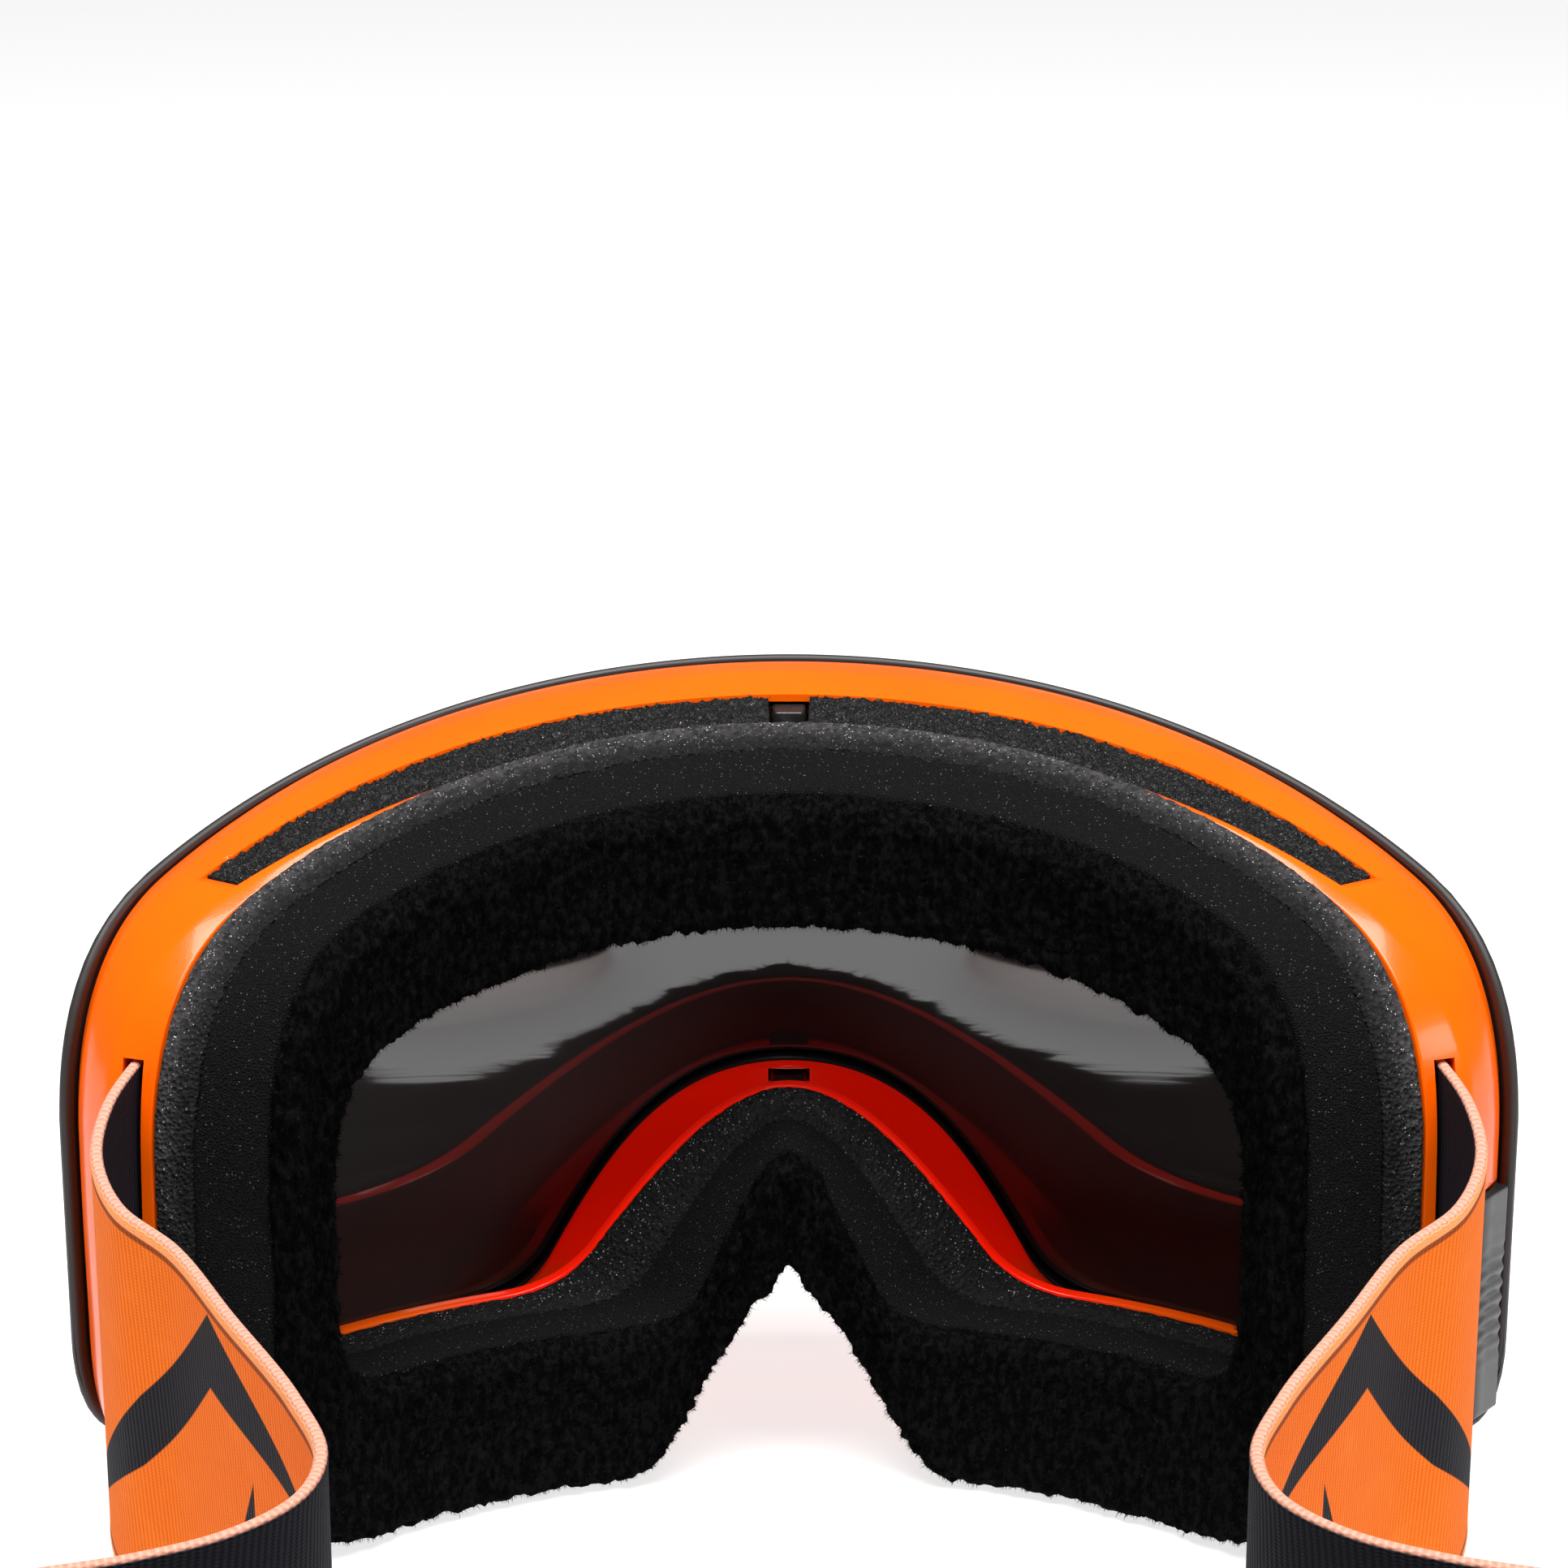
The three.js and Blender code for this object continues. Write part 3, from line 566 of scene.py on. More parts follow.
# The section's corners, from the rim back over the shell, round the flange and forward inside,
# each with the radius that rounds it.
section = [
    (rim_front, 0.5),
    (ridge, 0.35),
    (shell_middle, 3.0),
    (flange_edge, 0.9),
    (mix(face_loop(FLANGE_OUTLINE, FLANGE_REAR), flange_window, 0.06), 0.3),
    (flange_window, 0.5),
    (flange_window_front, 0.5),
    (flange_edge + SHELL_WALL * inward + 2 * forward, 1.2),
    (shell_middle + SHELL_WALL * inward, 2.0),
    (lens_loop(ledge_inset, ledge_radius - LEDGE_THICKNESS), 0.5),
    (lens_loop(ledge_inset, ledge_radius), 0.4),
    (lens_loop(RIM_INSET + RIM_WALL, ledge_radius), 0.2),
    (lens_loop(RIM_INSET + RIM_WALL, CARRIER_FRONT), 0.5),
]
shell_loops = rounded([loop for loop, _ in section], [radius for _, radius in section], 4)
shell = finish_mesh("frame_shell", *ring(shell_loops))

# The stations that the vents span, and how far their windows run: the shares of the way from the
# shell's middle to the flange, and the distances above and below the shell's surface.
TOP_WINDOW = (-16, 16)
BOTTOM_VENT = (sum(STEPS[:4]) + 1, sum(STEPS[:5]) - 1)
VENT_WINDOW = (0, 0.9, 4, 5)


def vent_band(first, last, near, far, above, below):
    """Rails round a stretch of the shell between two stations: from near to far behind its
    middle, and from above its surface to below it."""
    count = sum(STEPS) * 2 * FINE
    picked = np.arange(round(first * FINE), round(last * FINE) + 1) % count
    middle, edge, into = shell_middle[picked], flange_edge[picked], inward[picked]
    top = [mix(middle, edge, t) - above * into for t in (near, far)]
    base = [mix(middle, edge, t) + below * into for t in (far, near)]
    return top + base


def block(low, high):
    """Rails of a box from its lowest corner to its highest."""
    low, high = np.array(low, float), np.array(high, float)
    corners = [(0, 0), (1, 0), (1, 1), (0, 1)]
    return [[[x, mix(low[1], high[1], b), mix(low[2], high[2], c)] for x in (low[0], high[0])]
            for b, c in corners]


def upright(plan, low, high):
    """Rails of an upright prism with that plan."""
    return [[[x, y, low], [x, y, high]] for x, y in plan]


STRAP_WIDTH = 50
STRAP_SLOT_Z = 39.5
SLOT_PATH = np.array([[77.2, -51], [79.2, -41.5], [81.1, -33]])
SLOT_HALF_WIDTH = 1.4
SLOT_HALF_LENGTH = STRAP_WIDTH / 2 + 0.6
LEVER_PIVOT = np.array([-84, -43.2])
LEVER_TIP = np.array([-87.3, -47.2])
LEVER_BOTTOM, LEVER_TOP = 17, 47
LEVER_HALF_THICKNESS = 1.5
LEVER_RECESS_GAP = 0.5
NOTCH_DEPTH = 6


def lever_plan(margin, steps=9):
    """The lever's plan, made larger by a margin: square at its tip and round at its pin."""
    along = unit(LEVER_TIP - LEVER_PIVOT)
    across = np.array([-along[1], along[0]])
    half = LEVER_HALF_THICKNESS + margin
    turn = np.radians(np.linspace(90, 270, steps + 1))[:, None]
    heel = LEVER_PIVOT + half * (np.cos(turn) * along + np.sin(turn) * across)
    tip = LEVER_TIP + margin * along
    return np.concatenate([[tip - half * across, tip + half * across], heel])


cuts = []
for first, last in [TOP_WINDOW, BOTTOM_VENT, (-BOTTOM_VENT[1], -BOTTOM_VENT[0])]:
    cuts.append(vent_band(first, last, *VENT_WINDOW))
for _, x, low, high, reach in TABS:
    y = LENS_AXIS_Y - math.sqrt(CARRIER_REAR ** 2 - x ** 2)
    cuts.append(block((x - TAB_HALF_WIDTH - GAP, y - NOTCH_DEPTH, low - GAP),
                      (x + TAB_HALF_WIDTH + GAP, y + reach + GAP, high + GAP)))
for side in (1, -1):
    walls = np.concatenate([SLOT_PATH - [SLOT_HALF_WIDTH, 0], SLOT_PATH[::-1] + [SLOT_HALF_WIDTH, 0]])
    cuts.append(upright(walls * [side, 1], STRAP_SLOT_Z - SLOT_HALF_LENGTH,
                        STRAP_SLOT_Z + SLOT_HALF_LENGTH))
cuts.append(upright(lever_plan(LEVER_RECESS_GAP), LEVER_BOTTOM - LEVER_RECESS_GAP,
                    LEVER_TOP + LEVER_RECESS_GAP))


def carve(piece, cuts, sharp_angle=32):
    """Cuts closed bars out of a piece, and keeps edges sharper than that angle crisp."""
    for number, rails in enumerate(cuts):
        tool = finish_mesh("cut_%d" % number, *rod(rails))
        modifier = piece.modifiers.new(tool.name, "BOOLEAN")
        modifier.operation, modifier.solver, modifier.object = "DIFFERENCE", "EXACT", tool
    carved = piece.evaluated_get(bpy.context.evaluated_depsgraph_get())
    mesh = bpy.data.meshes.new_from_object(carved)
    for modifier in list(piece.modifiers):
        bpy.data.objects.remove(modifier.object)
        piece.modifiers.remove(modifier)
    piece.data = mesh
    mesh.set_sharp_from_angle(angle=math.radians(sharp_angle))
    mesh.materials.clear()


carve(shell, cuts)
# Painted shade: faces turned to the lens get a darker orange base colour, for the lens's shade.
# Painted light: upward faces of the nose arch are painted deep red and glow with emission, for
# light coming through the arch's thin wall.
normals = np.empty(3 * len(shell.data.vertices))
shell.data.vertex_normals.foreach_get("vector", normals)
lensward = np.clip(-2.5 * normals[1::3] - 0.25, 0, 1)
mark(shell.data, "lensward", lensward)
mark(shell.data, "lit_through", (1 - lensward) * np.clip(3 * normals[2::3] + 0.6, 0, 1))
tpu = Finish("orange_moulding")
cloudy = tpu.noise((25, 25, 12), 3)
skin_grain = tpu.noise(0.35, 3)
height = tpu.along("Z")
at_nose = abs(tpu.along("X")).between(50, 34) * height.between(54, 46) * height.between(12, 20)
arch = at_nose * tpu.marked("lit_through")
moulded = tpu.blend(cloudy, (0.98, 0.085, 0.0), (0.98, 0.140, 0.0))
# Painted light: the nose arch is painted deep red and glows below; faces turned to the lens get a painted
# shaded orange.
moulded = tpu.blend(arch, moulded, (0.92, 0.012, 0.001))
glossy_orange = tpu.skin({
    "Base Color": tpu.blend(tpu.marked("lensward"), moulded, (0.35, 0.028, 0.001)),
    "Emission Color": tpu.blend(arch, (0.0, 0.0, 0.0), (0.30, 0.002, 0.0)),
    "Emission Strength": 1.0,
    "Roughness": cloudy * 0.10 + 0.15,
    "Specular IOR Level": 0.25,
    "Coat Weight": 0.15,
    "Coat Roughness": 0.05,
    "Normal": tpu.bump(skin_grain, 0.012)})
fit(shell, glossy_orange, "frame_and_strap", "frame_shell", "main_frame")

# ---- Vent foam ----------------------------------------------------------------------------------
# Strips of black reticulated foam, cut by hand and glued under each vent window, let air through
# and keep snow out. Their open cells are wiry, and loose ends stand out of their cut faces.


def lumps(points, size, seed):
    """Smooth random heights from -1 to 1: random numbers on a lattice of that size, eased
    between its corners."""
    table = np.random.default_rng(seed).uniform(-1, 1, (32, 32, 32))
    cell = np.asarray(points)[..., :3] / size
    low = np.floor(cell).astype(int)
    share = cell - low
    share = share * share * (3 - 2 * share)
    total = 0
    for corner in np.ndindex(2, 2, 2):
        weight = np.prod(np.where(corner, share, 1 - share), axis=-1)
        index = (low + corner) % 32
        total = total + weight * table[index[..., 0], index[..., 1], index[..., 2]]
    return total


def filled(loops, gap):
    """Adds even loops between those that are further apart than a gap."""
    loops = np.array(loops)
    after = np.roll(loops, -1, axis=0)
    apart = np.linalg.norm((after - loops)[..., :3], axis=-1).mean(axis=1)
    counts = np.maximum(np.ceil(apart / gap), 1).astype(int)
    shares = [(np.arange(count) / count)[:, None, None] for count in counts]
    return np.concatenate([mix(a[None], b[None], t) for a, b, t in zip(loops, after, shares)])


def outwards(loops, closed=True):
    """Unit normals of a ring or bar's surface: the cross product of the directions along it
    and round its section, turned to point out."""
    points = loops[..., :3]
    along = np.roll(points, -1, 1) - np.roll(points, 1, 1) if closed else np.gradient(points, axis=1)
    normal = np.cross(along, np.roll(points, -1, 0) - np.roll(points, 1, 0))
    turned = np.sum((points - points.mean(axis=(0, 1))) * normal) < 0
    return unit(normal + 1e-9) * (-1 if turned else 1)


LEAN_SPREAD = 0.45
ROOT_SCATTER = 0.12
ROOT_DEPTH = 0.15


def bristles(loops, normals, where, count, length, width, seed):
    """Points and faces of many small spikes that stand on a surface where it is marked: each a
    thin pyramid on a triangle, leaning away from the surface's normal at random."""
    rng = np.random.default_rng(seed)
    roots = loops[..., :3].reshape(-1, 3)
    normals = normals.reshape(-1, 3)
    picked = rng.choice(np.flatnonzero(where), count)
    lean = unit(normals[picked] + rng.normal(0, LEAN_SPREAD, (count, 3)))
    start = roots[picked] + rng.normal(0, ROOT_SCATTER, (count, 3)) - ROOT_DEPTH * normals[picked]
    across = unit(np.cross(lean, rng.normal(0, 1, (count, 3))))
    beside = np.cross(lean, across)
    size = length * rng.uniform(0.5, 1.0, (count, 1)) + ROOT_DEPTH
    turns = np.radians([0, 120, 240])
    base = [start + width / 2 * (math.cos(t) * across + math.sin(t) * beside) for t in turns]
    points = np.stack([*base, start + lean * size], axis=1)
    faces = np.array([[0, 2, 1], [0, 1, 3], [1, 2, 3], [2, 0, 3]])
    return points.reshape(-1, 3), (faces[None] + 4 * np.arange(count)[:, None, None]).reshape(-1, 3)


# The strips, by the stations they span, and how far they run, as the windows' numbers say.
STRIPS = [((0.5, 8.14), "top_inner"), ((8.16, 15.9), "top_outer"), (BOTTOM_VENT, "bottom")]
VENT_STRIP = (0.02, 0.88, -0.15, 2.2)
VENT_FOAM_STEP = 0.25
VENT_FOAM_FUZZ = 0.32
VENT_WIRES = 5000
WIRE_LENGTH = 0.45
WIRE_WIDTH = 0.09


def vent_foam(first, last):
    """A foam strip under a vent window: a bar with rounded edges, whose surface is raised and
    sunk by two sizes of lumps."""
    rails = np.array(vent_band(first, last, *VENT_STRIP))
    number = np.linspace(0, rails.shape[1] - 1, 4 * rails.shape[1])
    low = np.floor(number).astype(int).clip(0, rails.shape[1] - 2)
    rails = mix(rails[:, low], rails[:, low + 1], (number - low)[:, None])
    loops = filled(rounded(rails, 0.5, 3), VENT_FOAM_STEP)
    height = VENT_FOAM_FUZZ * (lumps(loops, 0.45, 3) + 0.6 * lumps(loops, 0.9, 4))
    height[:, [0, -1]] = 0
    return loops + outwards(loops, False) * height[..., None]


reticulated = Finish("reticulated_foam")
strut = reticulated.cells(0.42, "DISTANCE_TO_EDGE")
wires = strut.between(0.10, 0.02)
sheen_spots = reticulated.noise(0.3, 2).between(0.55, 0.72)
reticulated_foam = reticulated.skin({
    # Painted glints: in spots the wiry struts are painted grey, highlights put into the base colour.
    "Base Color": reticulated.blend(wires * sheen_spots, (0.0015, 0.0015, 0.0015), (0.32, 0.30, 0.30)),
    "Roughness": 0.7 - wires * 0.3,
    "Specular IOR Level": 0.3,
    "Normal": reticulated.bump(wires, 0.25)})
for side, place in ((1, "left"), (-1, "right")):
    for (first, last), name in STRIPS:
        cut_foam = vent_foam(*((first, last) if side > 0 else (-last, -first)))
        strip = finish_mesh("foam_%s_%s" % (name, place), *rod(cut_foam))
        fit(strip, reticulated_foam, "frame_and_strap", "vent_foam", "vent_foam_%s_%s" % (name, place))
        if name == "bottom":
            continue
        everywhere = np.ones(cut_foam.shape[:2])
        wire_ends = bristles(cut_foam, outwards(cut_foam, False), everywhere, VENT_WIRES,
                             WIRE_LENGTH, WIRE_WIDTH, 7)
        fit(finish_mesh("wires_%s_%s" % (name, place), *wire_ends),
            reticulated_foam, "frame_and_strap", "vent_foam")

# ---- Base foam ----------------------------------------------------------------------------------
# The first layer behind the flange is firm open-cell foam of grey crumbs, die cut and glued to the
# flange. Its sides swell a little between its glued faces. White specks among the crumbs are painted
# glints, most of them near the front, and the crumbs turn nearly black towards the rear and lower
# down as painted shade.
GLUE_GAP = 0.5
BASE_FOAM_DEPTH = 16.5
MIDDLE_FOAM_DEPTH = 11.4
FLEECE_DEPTH = 3.4
FOAM_STEP = 0.45
AT_FLANGE = (
    dict(top=96.2, crown=23, side=68, shoulder=15, drop=22, hip=20, hip_run=15,
         bottom=1, foot=19, toe=4, nose_top=37.5, nose_round=5),
    dict(top=78.5, crown=14, side=57, shoulder=10, drop=18, hip=16, hip_run=12,
         bottom=21.1, foot=22, toe=6, nose_top=47.5, nose_round=6.2))
AT_MIDDLE = (
    dict(top=94, crown=21.5, side=67, shoulder=15, drop=22, hip=20, hip_run=15,
         bottom=0.8, foot=18, toe=4, nose_top=35, nose_round=4),
    dict(top=76.5, crown=14, side=56, shoulder=10, drop=17, hip=15, hip_run=11,
         bottom=20.8, foot=16, toe=6, nose_top=45, nose_round=4))
AT_FLEECE = (
    dict(top=90.6, crown=17, side=63, shoulder=14, drop=22, hip=20, hip_run=14,
         bottom=0.8, foot=15.5, toe=4, nose_top=31, nose_round=2.5),
    dict(top=74.2, crown=13.5, side=54.8, shoulder=9, drop=15, hip=14, hip_run=9,
         bottom=20.8, foot=11, toe=6, nose_top=44, nose_round=2))
AT_FACE = (
    dict(top=88.6, crown=15.5, side=61, shoulder=14, drop=22, hip=18, hip_run=13,
         bottom=2, foot=15, toe=4, nose_top=28.8, nose_round=2),
    dict(top=74.8, crown=13.5, side=55.3, shoulder=9, drop=15, hip=14, hip_run=9,
         bottom=19.6, foot=11, toe=6, nose_top=42.4, nose_round=2))


def layer(front, front_depth, rear, rear_depth, swell, edge, step):
    """Loops of a foam layer between two depths, with a fourth number from 0 at its front to 1
    at its rear and a fifth from 0 outside to 1 inside. Its two sides swell at mid depth."""
    faces = [(face_loop(shape, depth), back, inner)
             for pair, depth, back in ((front, front_depth, 0), (rear, rear_depth, 1))
             for shape, inner in zip(pair, (0, 1))]
    marked = [np.concatenate([points, np.full((len(points), 2), (back, inner))], axis=1)
              for points, back, inner in faces]
    front_out, front_in, rear_out, rear_in = marked
    towards = unit((front_in - front_out)[:, :3])
    swelling = np.concatenate([towards, 0 * towards[:, :2]], axis=1) * swell
    loops = [front_out, mix(front_out, rear_out, 0.5) - swelling, rear_out,
             rear_in, mix(front_in, rear_in, 0.5) + swelling, front_in]
    return filled(rounded(loops, [edge, 3, edge, edge, 3, edge], 3), step)


def foam_piece(name, loops, height):
    """A foam layer's object: its loops moved out by a height, with their fourth number kept."""
    moved = loops[..., :3] + outwards(loops) * height[..., None]
    return finish_mesh(name, *ring(moved), attributes={"rearward": loops[..., 3]})


base_loops = layer(AT_FLANGE, BASE_FOAM_DEPTH, AT_MIDDLE, MIDDLE_FOAM_DEPTH + GLUE_GAP / 2, 0.25, 0.5,
                   FOAM_STEP)
crumbs = 0.10 * lumps(base_loops, 0.7, 11) + 0.07 * lumps(base_loops, 0.35, 12)
base_foam = foam_piece("base_foam_layer", base_loops, crumbs)
crumbed = Finish("crumb_foam")
rearward = crumbed.marked("rearward")
crumb_tone = crumbed.cells(0.55, output="Color").brightness()
crumb_core = crumbed.cells(0.55)
sparkle_near = 1 - rearward.between(0.25, 0.95)
# Painted shade: the crumbs go from grey to nearly black towards the rear and lower down, where less light
# falls.
grey = crumbed.blend(crumb_tone, (0.006, 0.006, 0.0065), (0.060, 0.056, 0.058))
dark = crumbed.blend(crumb_tone, (0.001, 0.001, 0.001), (0.010, 0.0095, 0.010))
painted_shade = rearward.between(0.1, 0.85).most(crumbed.along("Z").between(58, 40))
ground = crumbed.blend(painted_shade, grey, dark)
fine_tone = crumbed.cells(0.26, output="Color").brightness()
glint = crumbed.noise(0.9, 2).between(0.35, 0.7)
# Painted glints: white specks, most of them near the front, for light caught by the cell walls.
painted_glints = (fine_tone.between(0.70, 0.76) * crumbed.cells(0.26).between(0.45, 0.15) * glint
          * (sparkle_near * 0.8 + 0.2))
crumb_foam = crumbed.skin({
    "Base Color": crumbed.blend(painted_glints, ground, (0.72, 0.69, 0.68)),
    "Roughness": 0.85 - painted_glints * 0.3,
    "Specular IOR Level": 0.2,
    "Normal": crumbed.bump(crumb_core, 0.3)})
fit(base_foam, crumb_foam, "frame_and_strap", "speckled_foam", "face_foam_base")

# ---- Middle foam --------------------------------------------------------------------------------
# A thicker layer of soft, fine black foam takes up the shape of the face. Its die-cut sides are
# almost smooth, with fine pale specks in the pores that are painted glints.
middle_loops = layer(AT_MIDDLE, MIDDLE_FOAM_DEPTH + 0.12, AT_FLEECE, FLEECE_DEPTH + GLUE_GAP / 2, 0.4, 0.6,
                     FOAM_STEP)
dimples = 0.08 * lumps(middle_loops, 1.1, 21) + 0.22 * lumps(middle_loops, 9, 22)
middle_foam = foam_piece("middle_foam_layer", middle_loops, dimples)
fine = Finish("fine_foam")
pore_size = fine.cells(0.26)
# Painted glints: pale specks in the pores, highlights put into the base colour.
glint_cells = fine.cells(0.34, output="Color").brightness().between(0.72, 0.8)
pore_glints = glint_cells * fine.cells(0.34).between(0.34, 0.1)
walls = fine.noise(0.5, 3) * pore_size.between(0.5, 0.1)
porous = fine.blend(walls, (0.0012, 0.0012, 0.0013), (0.017, 0.0165, 0.018))
fine_foam = fine.skin({
    "Base Color": fine.blend(pore_glints, porous, (0.11, 0.11, 0.11)),
    "Roughness": 0.92,
    "Specular IOR Level": 0.15,
    "Normal": fine.bump(pore_size, 0.25)})
fit(middle_foam, fine_foam, "frame_and_strap", "black_foam", "face_foam_middle")

# ---- Fleece -------------------------------------------------------------------------------------
# A brushed microfleece skin is laminated over the foam where it touches the face. Its pile
# stands in tufts with loose fibres, its die-cut edges are ragged, and it folds at the bridge of the nose.
FLEECE_STEP = 0.4
PILE = 0.36
RAG = 0.6
FOLD_HALF_WIDTH = 1.1
FOLD_DEPTH = 0.9
fleece_loops = layer(AT_FLEECE, FLEECE_DEPTH + 0.1, AT_FACE, 0, 0.5, 1.1, FLEECE_STEP)
rear_side = fleece_loops[..., 3]
nap = PILE * (0.5 * lumps(fleece_loops * [1, 1, 0.5, 1, 1], 1.3, 31) + lumps(fleece_loops, 0.5, 32))
rag = RAG * (0.5 * np.abs(lumps(fleece_loops, 2.6, 33)) + 0.8 * lumps(fleece_loops, 1.0, 34))
edge_share = np.clip(1 - 4 * np.abs(fleece_loops[..., 4] - np.round(fleece_loops[..., 4])), 0, 1)
under_bridge = np.clip((46 - fleece_loops[..., 2]) / 6, 0, 1)
fold = FOLD_DEPTH * np.exp(-(fleece_loops[..., 0] / FOLD_HALF_WIDTH) ** 2) * under_bridge
puffs = 0.45 * np.exp(-((np.abs(fleece_loops[..., 0]) - 3) / 2) ** 2) * under_bridge
fleece_height = nap * (0.45 + 0.55 * rear_side) + rag * edge_share - fold * rear_side + puffs
fleece = foam_piece("fleece_skin", fleece_loops, fleece_height)
pile = Finish("microfleece")
tufts = pile.noise((0.9, 0.9, 1.8), 4, 0.6)
clumps = tufts.between(0.42, 0.62)
fibres = pile.noise((0.16, 0.16, 0.5), 3, 0.6)
lint = pile.noise(0.5, 2).between(0.66, 0.78)
tips = clumps * 0.7 + fibres.between(0.4, 0.7) * 0.3
napped = pile.blend(tips, (0.0007, 0.0007, 0.0007), (0.0060, 0.0054, 0.0056))
microfleece = pile.skin({
    "Base Color": pile.blend(lint * 0.3, napped, (0.04, 0.04, 0.04)),
    "Roughness": 0.95,
    "Specular IOR Level": 0.03,
    "Normal": pile.bump(fibres, 0.10, pile.bump(tufts, 0.35))})
fit(fleece, microfleece, "frame_and_strap", "fleece", "face_fleece")
FIBRES = 36000
FIBRE_LENGTH = 0.75
FIBRE_WIDTH = 0.11
pile_roots = fleece_loops.copy()
pile_roots[..., :3] += outwards(fleece_loops) * fleece_height[..., None]
standing = (rear_side > 0.15) & (pile_roots[..., 2] > FIBRE_LENGTH)
fit(finish_mesh("fleece_pile", *bristles(pile_roots, outwards(fleece_loops), standing,
                                         FIBRES, FIBRE_LENGTH, FIBRE_WIDTH, 41)),
    microfleece, "frame_and_strap", "fleece")

# ---- Straps -------------------------------------------------------------------------------------
# Each strap half is ribbed elastic webbing, woven orange outside with a black angular pattern
# and black inside, with a pale bound edge. It hooks over a steel bar inside the frame, leaves
# by the slot and runs round to the back, where the left half lies outside the right one.
STRAP_THICKNESS = 1.6
STRAP_REAR_Z = 28.4
REAR_Y = 100
LAYER_OFFSET = 1
ANCHOR = np.array([75.3, -50.8])
ANCHOR_RADIUS = 0.95
STRAP_END_X = -50
# Steps along the bends and along the straight end, and columns up each face of the webbing.
RUN_STEPS, REAR_STEPS, FACE_COLUMNS = 420, 120, 40
EDGE_BAND = 1.6
STRAP_BENDS = [
    (79.2, -41.5, 39.5), (80.9, -33, 38), (80.8, -23.5, 35.6), (76.8, -13, 33.6), (69, -3.5, 32.4),
    (61, 12, 31.4), (51.8, 30, 30.4), (47.6, 42, 29.6), (49, 51, 29.2), (55, 58, 28.9),
    (64, 62.5, 28.6), (75, 66, 28.4), (84, 71.5, 28.4), (88, 80, 28.4), (84, 90, 28.4)]


def through(bends, count):
    """Evenly spaced points on a centripetal Catmull-Rom curve: between two bends, a cubic whose
    slopes weigh the neighbouring spans by the square roots of their lengths."""
    bends = np.array(bends, float)
    bends = np.concatenate([[2 * bends[0] - bends[1]], bends, [2 * bends[-1] - bends[-2]]])
    span = np.sqrt(np.linalg.norm(np.diff(bends, axis=0), axis=1))[:, None]
    p0, p1, p2, p3 = bends[:-3], bends[1:-2], bends[2:-1], bends[3:]
    d0, d1, d2 = span[:-2], span[1:-1], span[2:]
    leave = ((p1 - p0) / d0 - (p2 - p0) / (d0 + d1) + (p2 - p1) / d1) * d1
    arrive = ((p2 - p1) / d1 - (p3 - p1) / (d1 + d2) + (p3 - p2) / d2) * d1
    steps = 60
    t = np.linspace(0, 1, steps, endpoint=False)[None, :, None]
    p1, p2, leave, arrive = (points[:, None] for points in (p1, p2, leave, arrive))
    cubic = (p1 + leave * t + (3 * (p2 - p1) - 2 * leave - arrive) * t ** 2
             + (2 * (p1 - p2) + leave + arrive) * t ** 3)
    line = np.concatenate([cubic.reshape(-1, 3), bends[-2:-1]])
    length = np.cumsum(np.linalg.norm(np.diff(line, axis=0, prepend=line[:1]), axis=1))
    wanted = np.linspace(0, length[-1], count + 1)
    return np.stack([np.interp(wanted, length, column) for column in line.T], axis=1)


def strap_line(rear_y):
    """The strap's centreline: an arc round the bar, the bends, then straight across behind."""
    wrap = ANCHOR_RADIUS + GAP + STRAP_THICKNESS / 2
    turn = np.radians(np.arange(200, 350, 5))
    hook = np.stack([ANCHOR[0] + wrap * np.cos(turn), ANCHOR[1] + wrap * np.sin(turn),
                     STRAP_SLOT_Z + 0 * turn], 1)
    run = through([hook[-1], *STRAP_BENDS, (72, mix(90, rear_y, 0.75), STRAP_REAR_Z),
                   (58, rear_y, STRAP_REAR_Z)], RUN_STEPS)
    share = np.linspace(0, 1, REAR_STEPS + 1)[1:, None]
    end = np.array([STRAP_END_X, rear_y, STRAP_REAR_Z])
    return np.concatenate([hook[:-1], run, mix(run[-1], end, share)])


def strap_points(side, rear_y):
    """The webbing's surface, and how far along it, how high on it and how far out of it each
    point is: its rounded section is carried square to the line, a little thicker at its edges."""
    line = strap_line(rear_y)
    along = unit(np.gradient(line, axis=0))
    square = unit(np.stack([along[:, 1], -along[:, 0], 0 * along[:, 0]], 1))
    run = np.cumsum(np.linalg.norm(np.diff(line, axis=0, prepend=line[:1]), axis=1))
    half_thick, half_wide = STRAP_THICKNESS / 2, STRAP_WIDTH / 2
    corner = rounded_rectangle(half_thick, half_wide, half_thick * 0.9, 5)
    corner = np.concatenate([corner, corner[:1]])
    parts = []
    for a, b in zip(corner[:-1], corner[1:]):
        long_side = abs(b[1] - a[1]) > half_wide
        share = np.linspace(0, 1, FACE_COLUMNS if long_side else 1, endpoint=False)[:, None]
        parts.append(mix(a, b, share))
    profile = np.concatenate(parts)
    edge_near = np.exp(-((half_wide - np.abs(profile[:, 1])) / EDGE_BAND) ** 2)
    thickness = profile[:, 0] * (0.86 + 0.14 * edge_near)
    points = line[None] + thickness[:, None, None] * square[None]
    points[..., 2] += profile[:, 1:]
    points[..., 0] *= side
    marks = {"along": run[None] + 0 * profile[:, :1], "up": profile[:, 1:] + 0 * run[None],
             "outside": profile[:, :1] / half_thick + 0 * run[None]}
    return points, marks


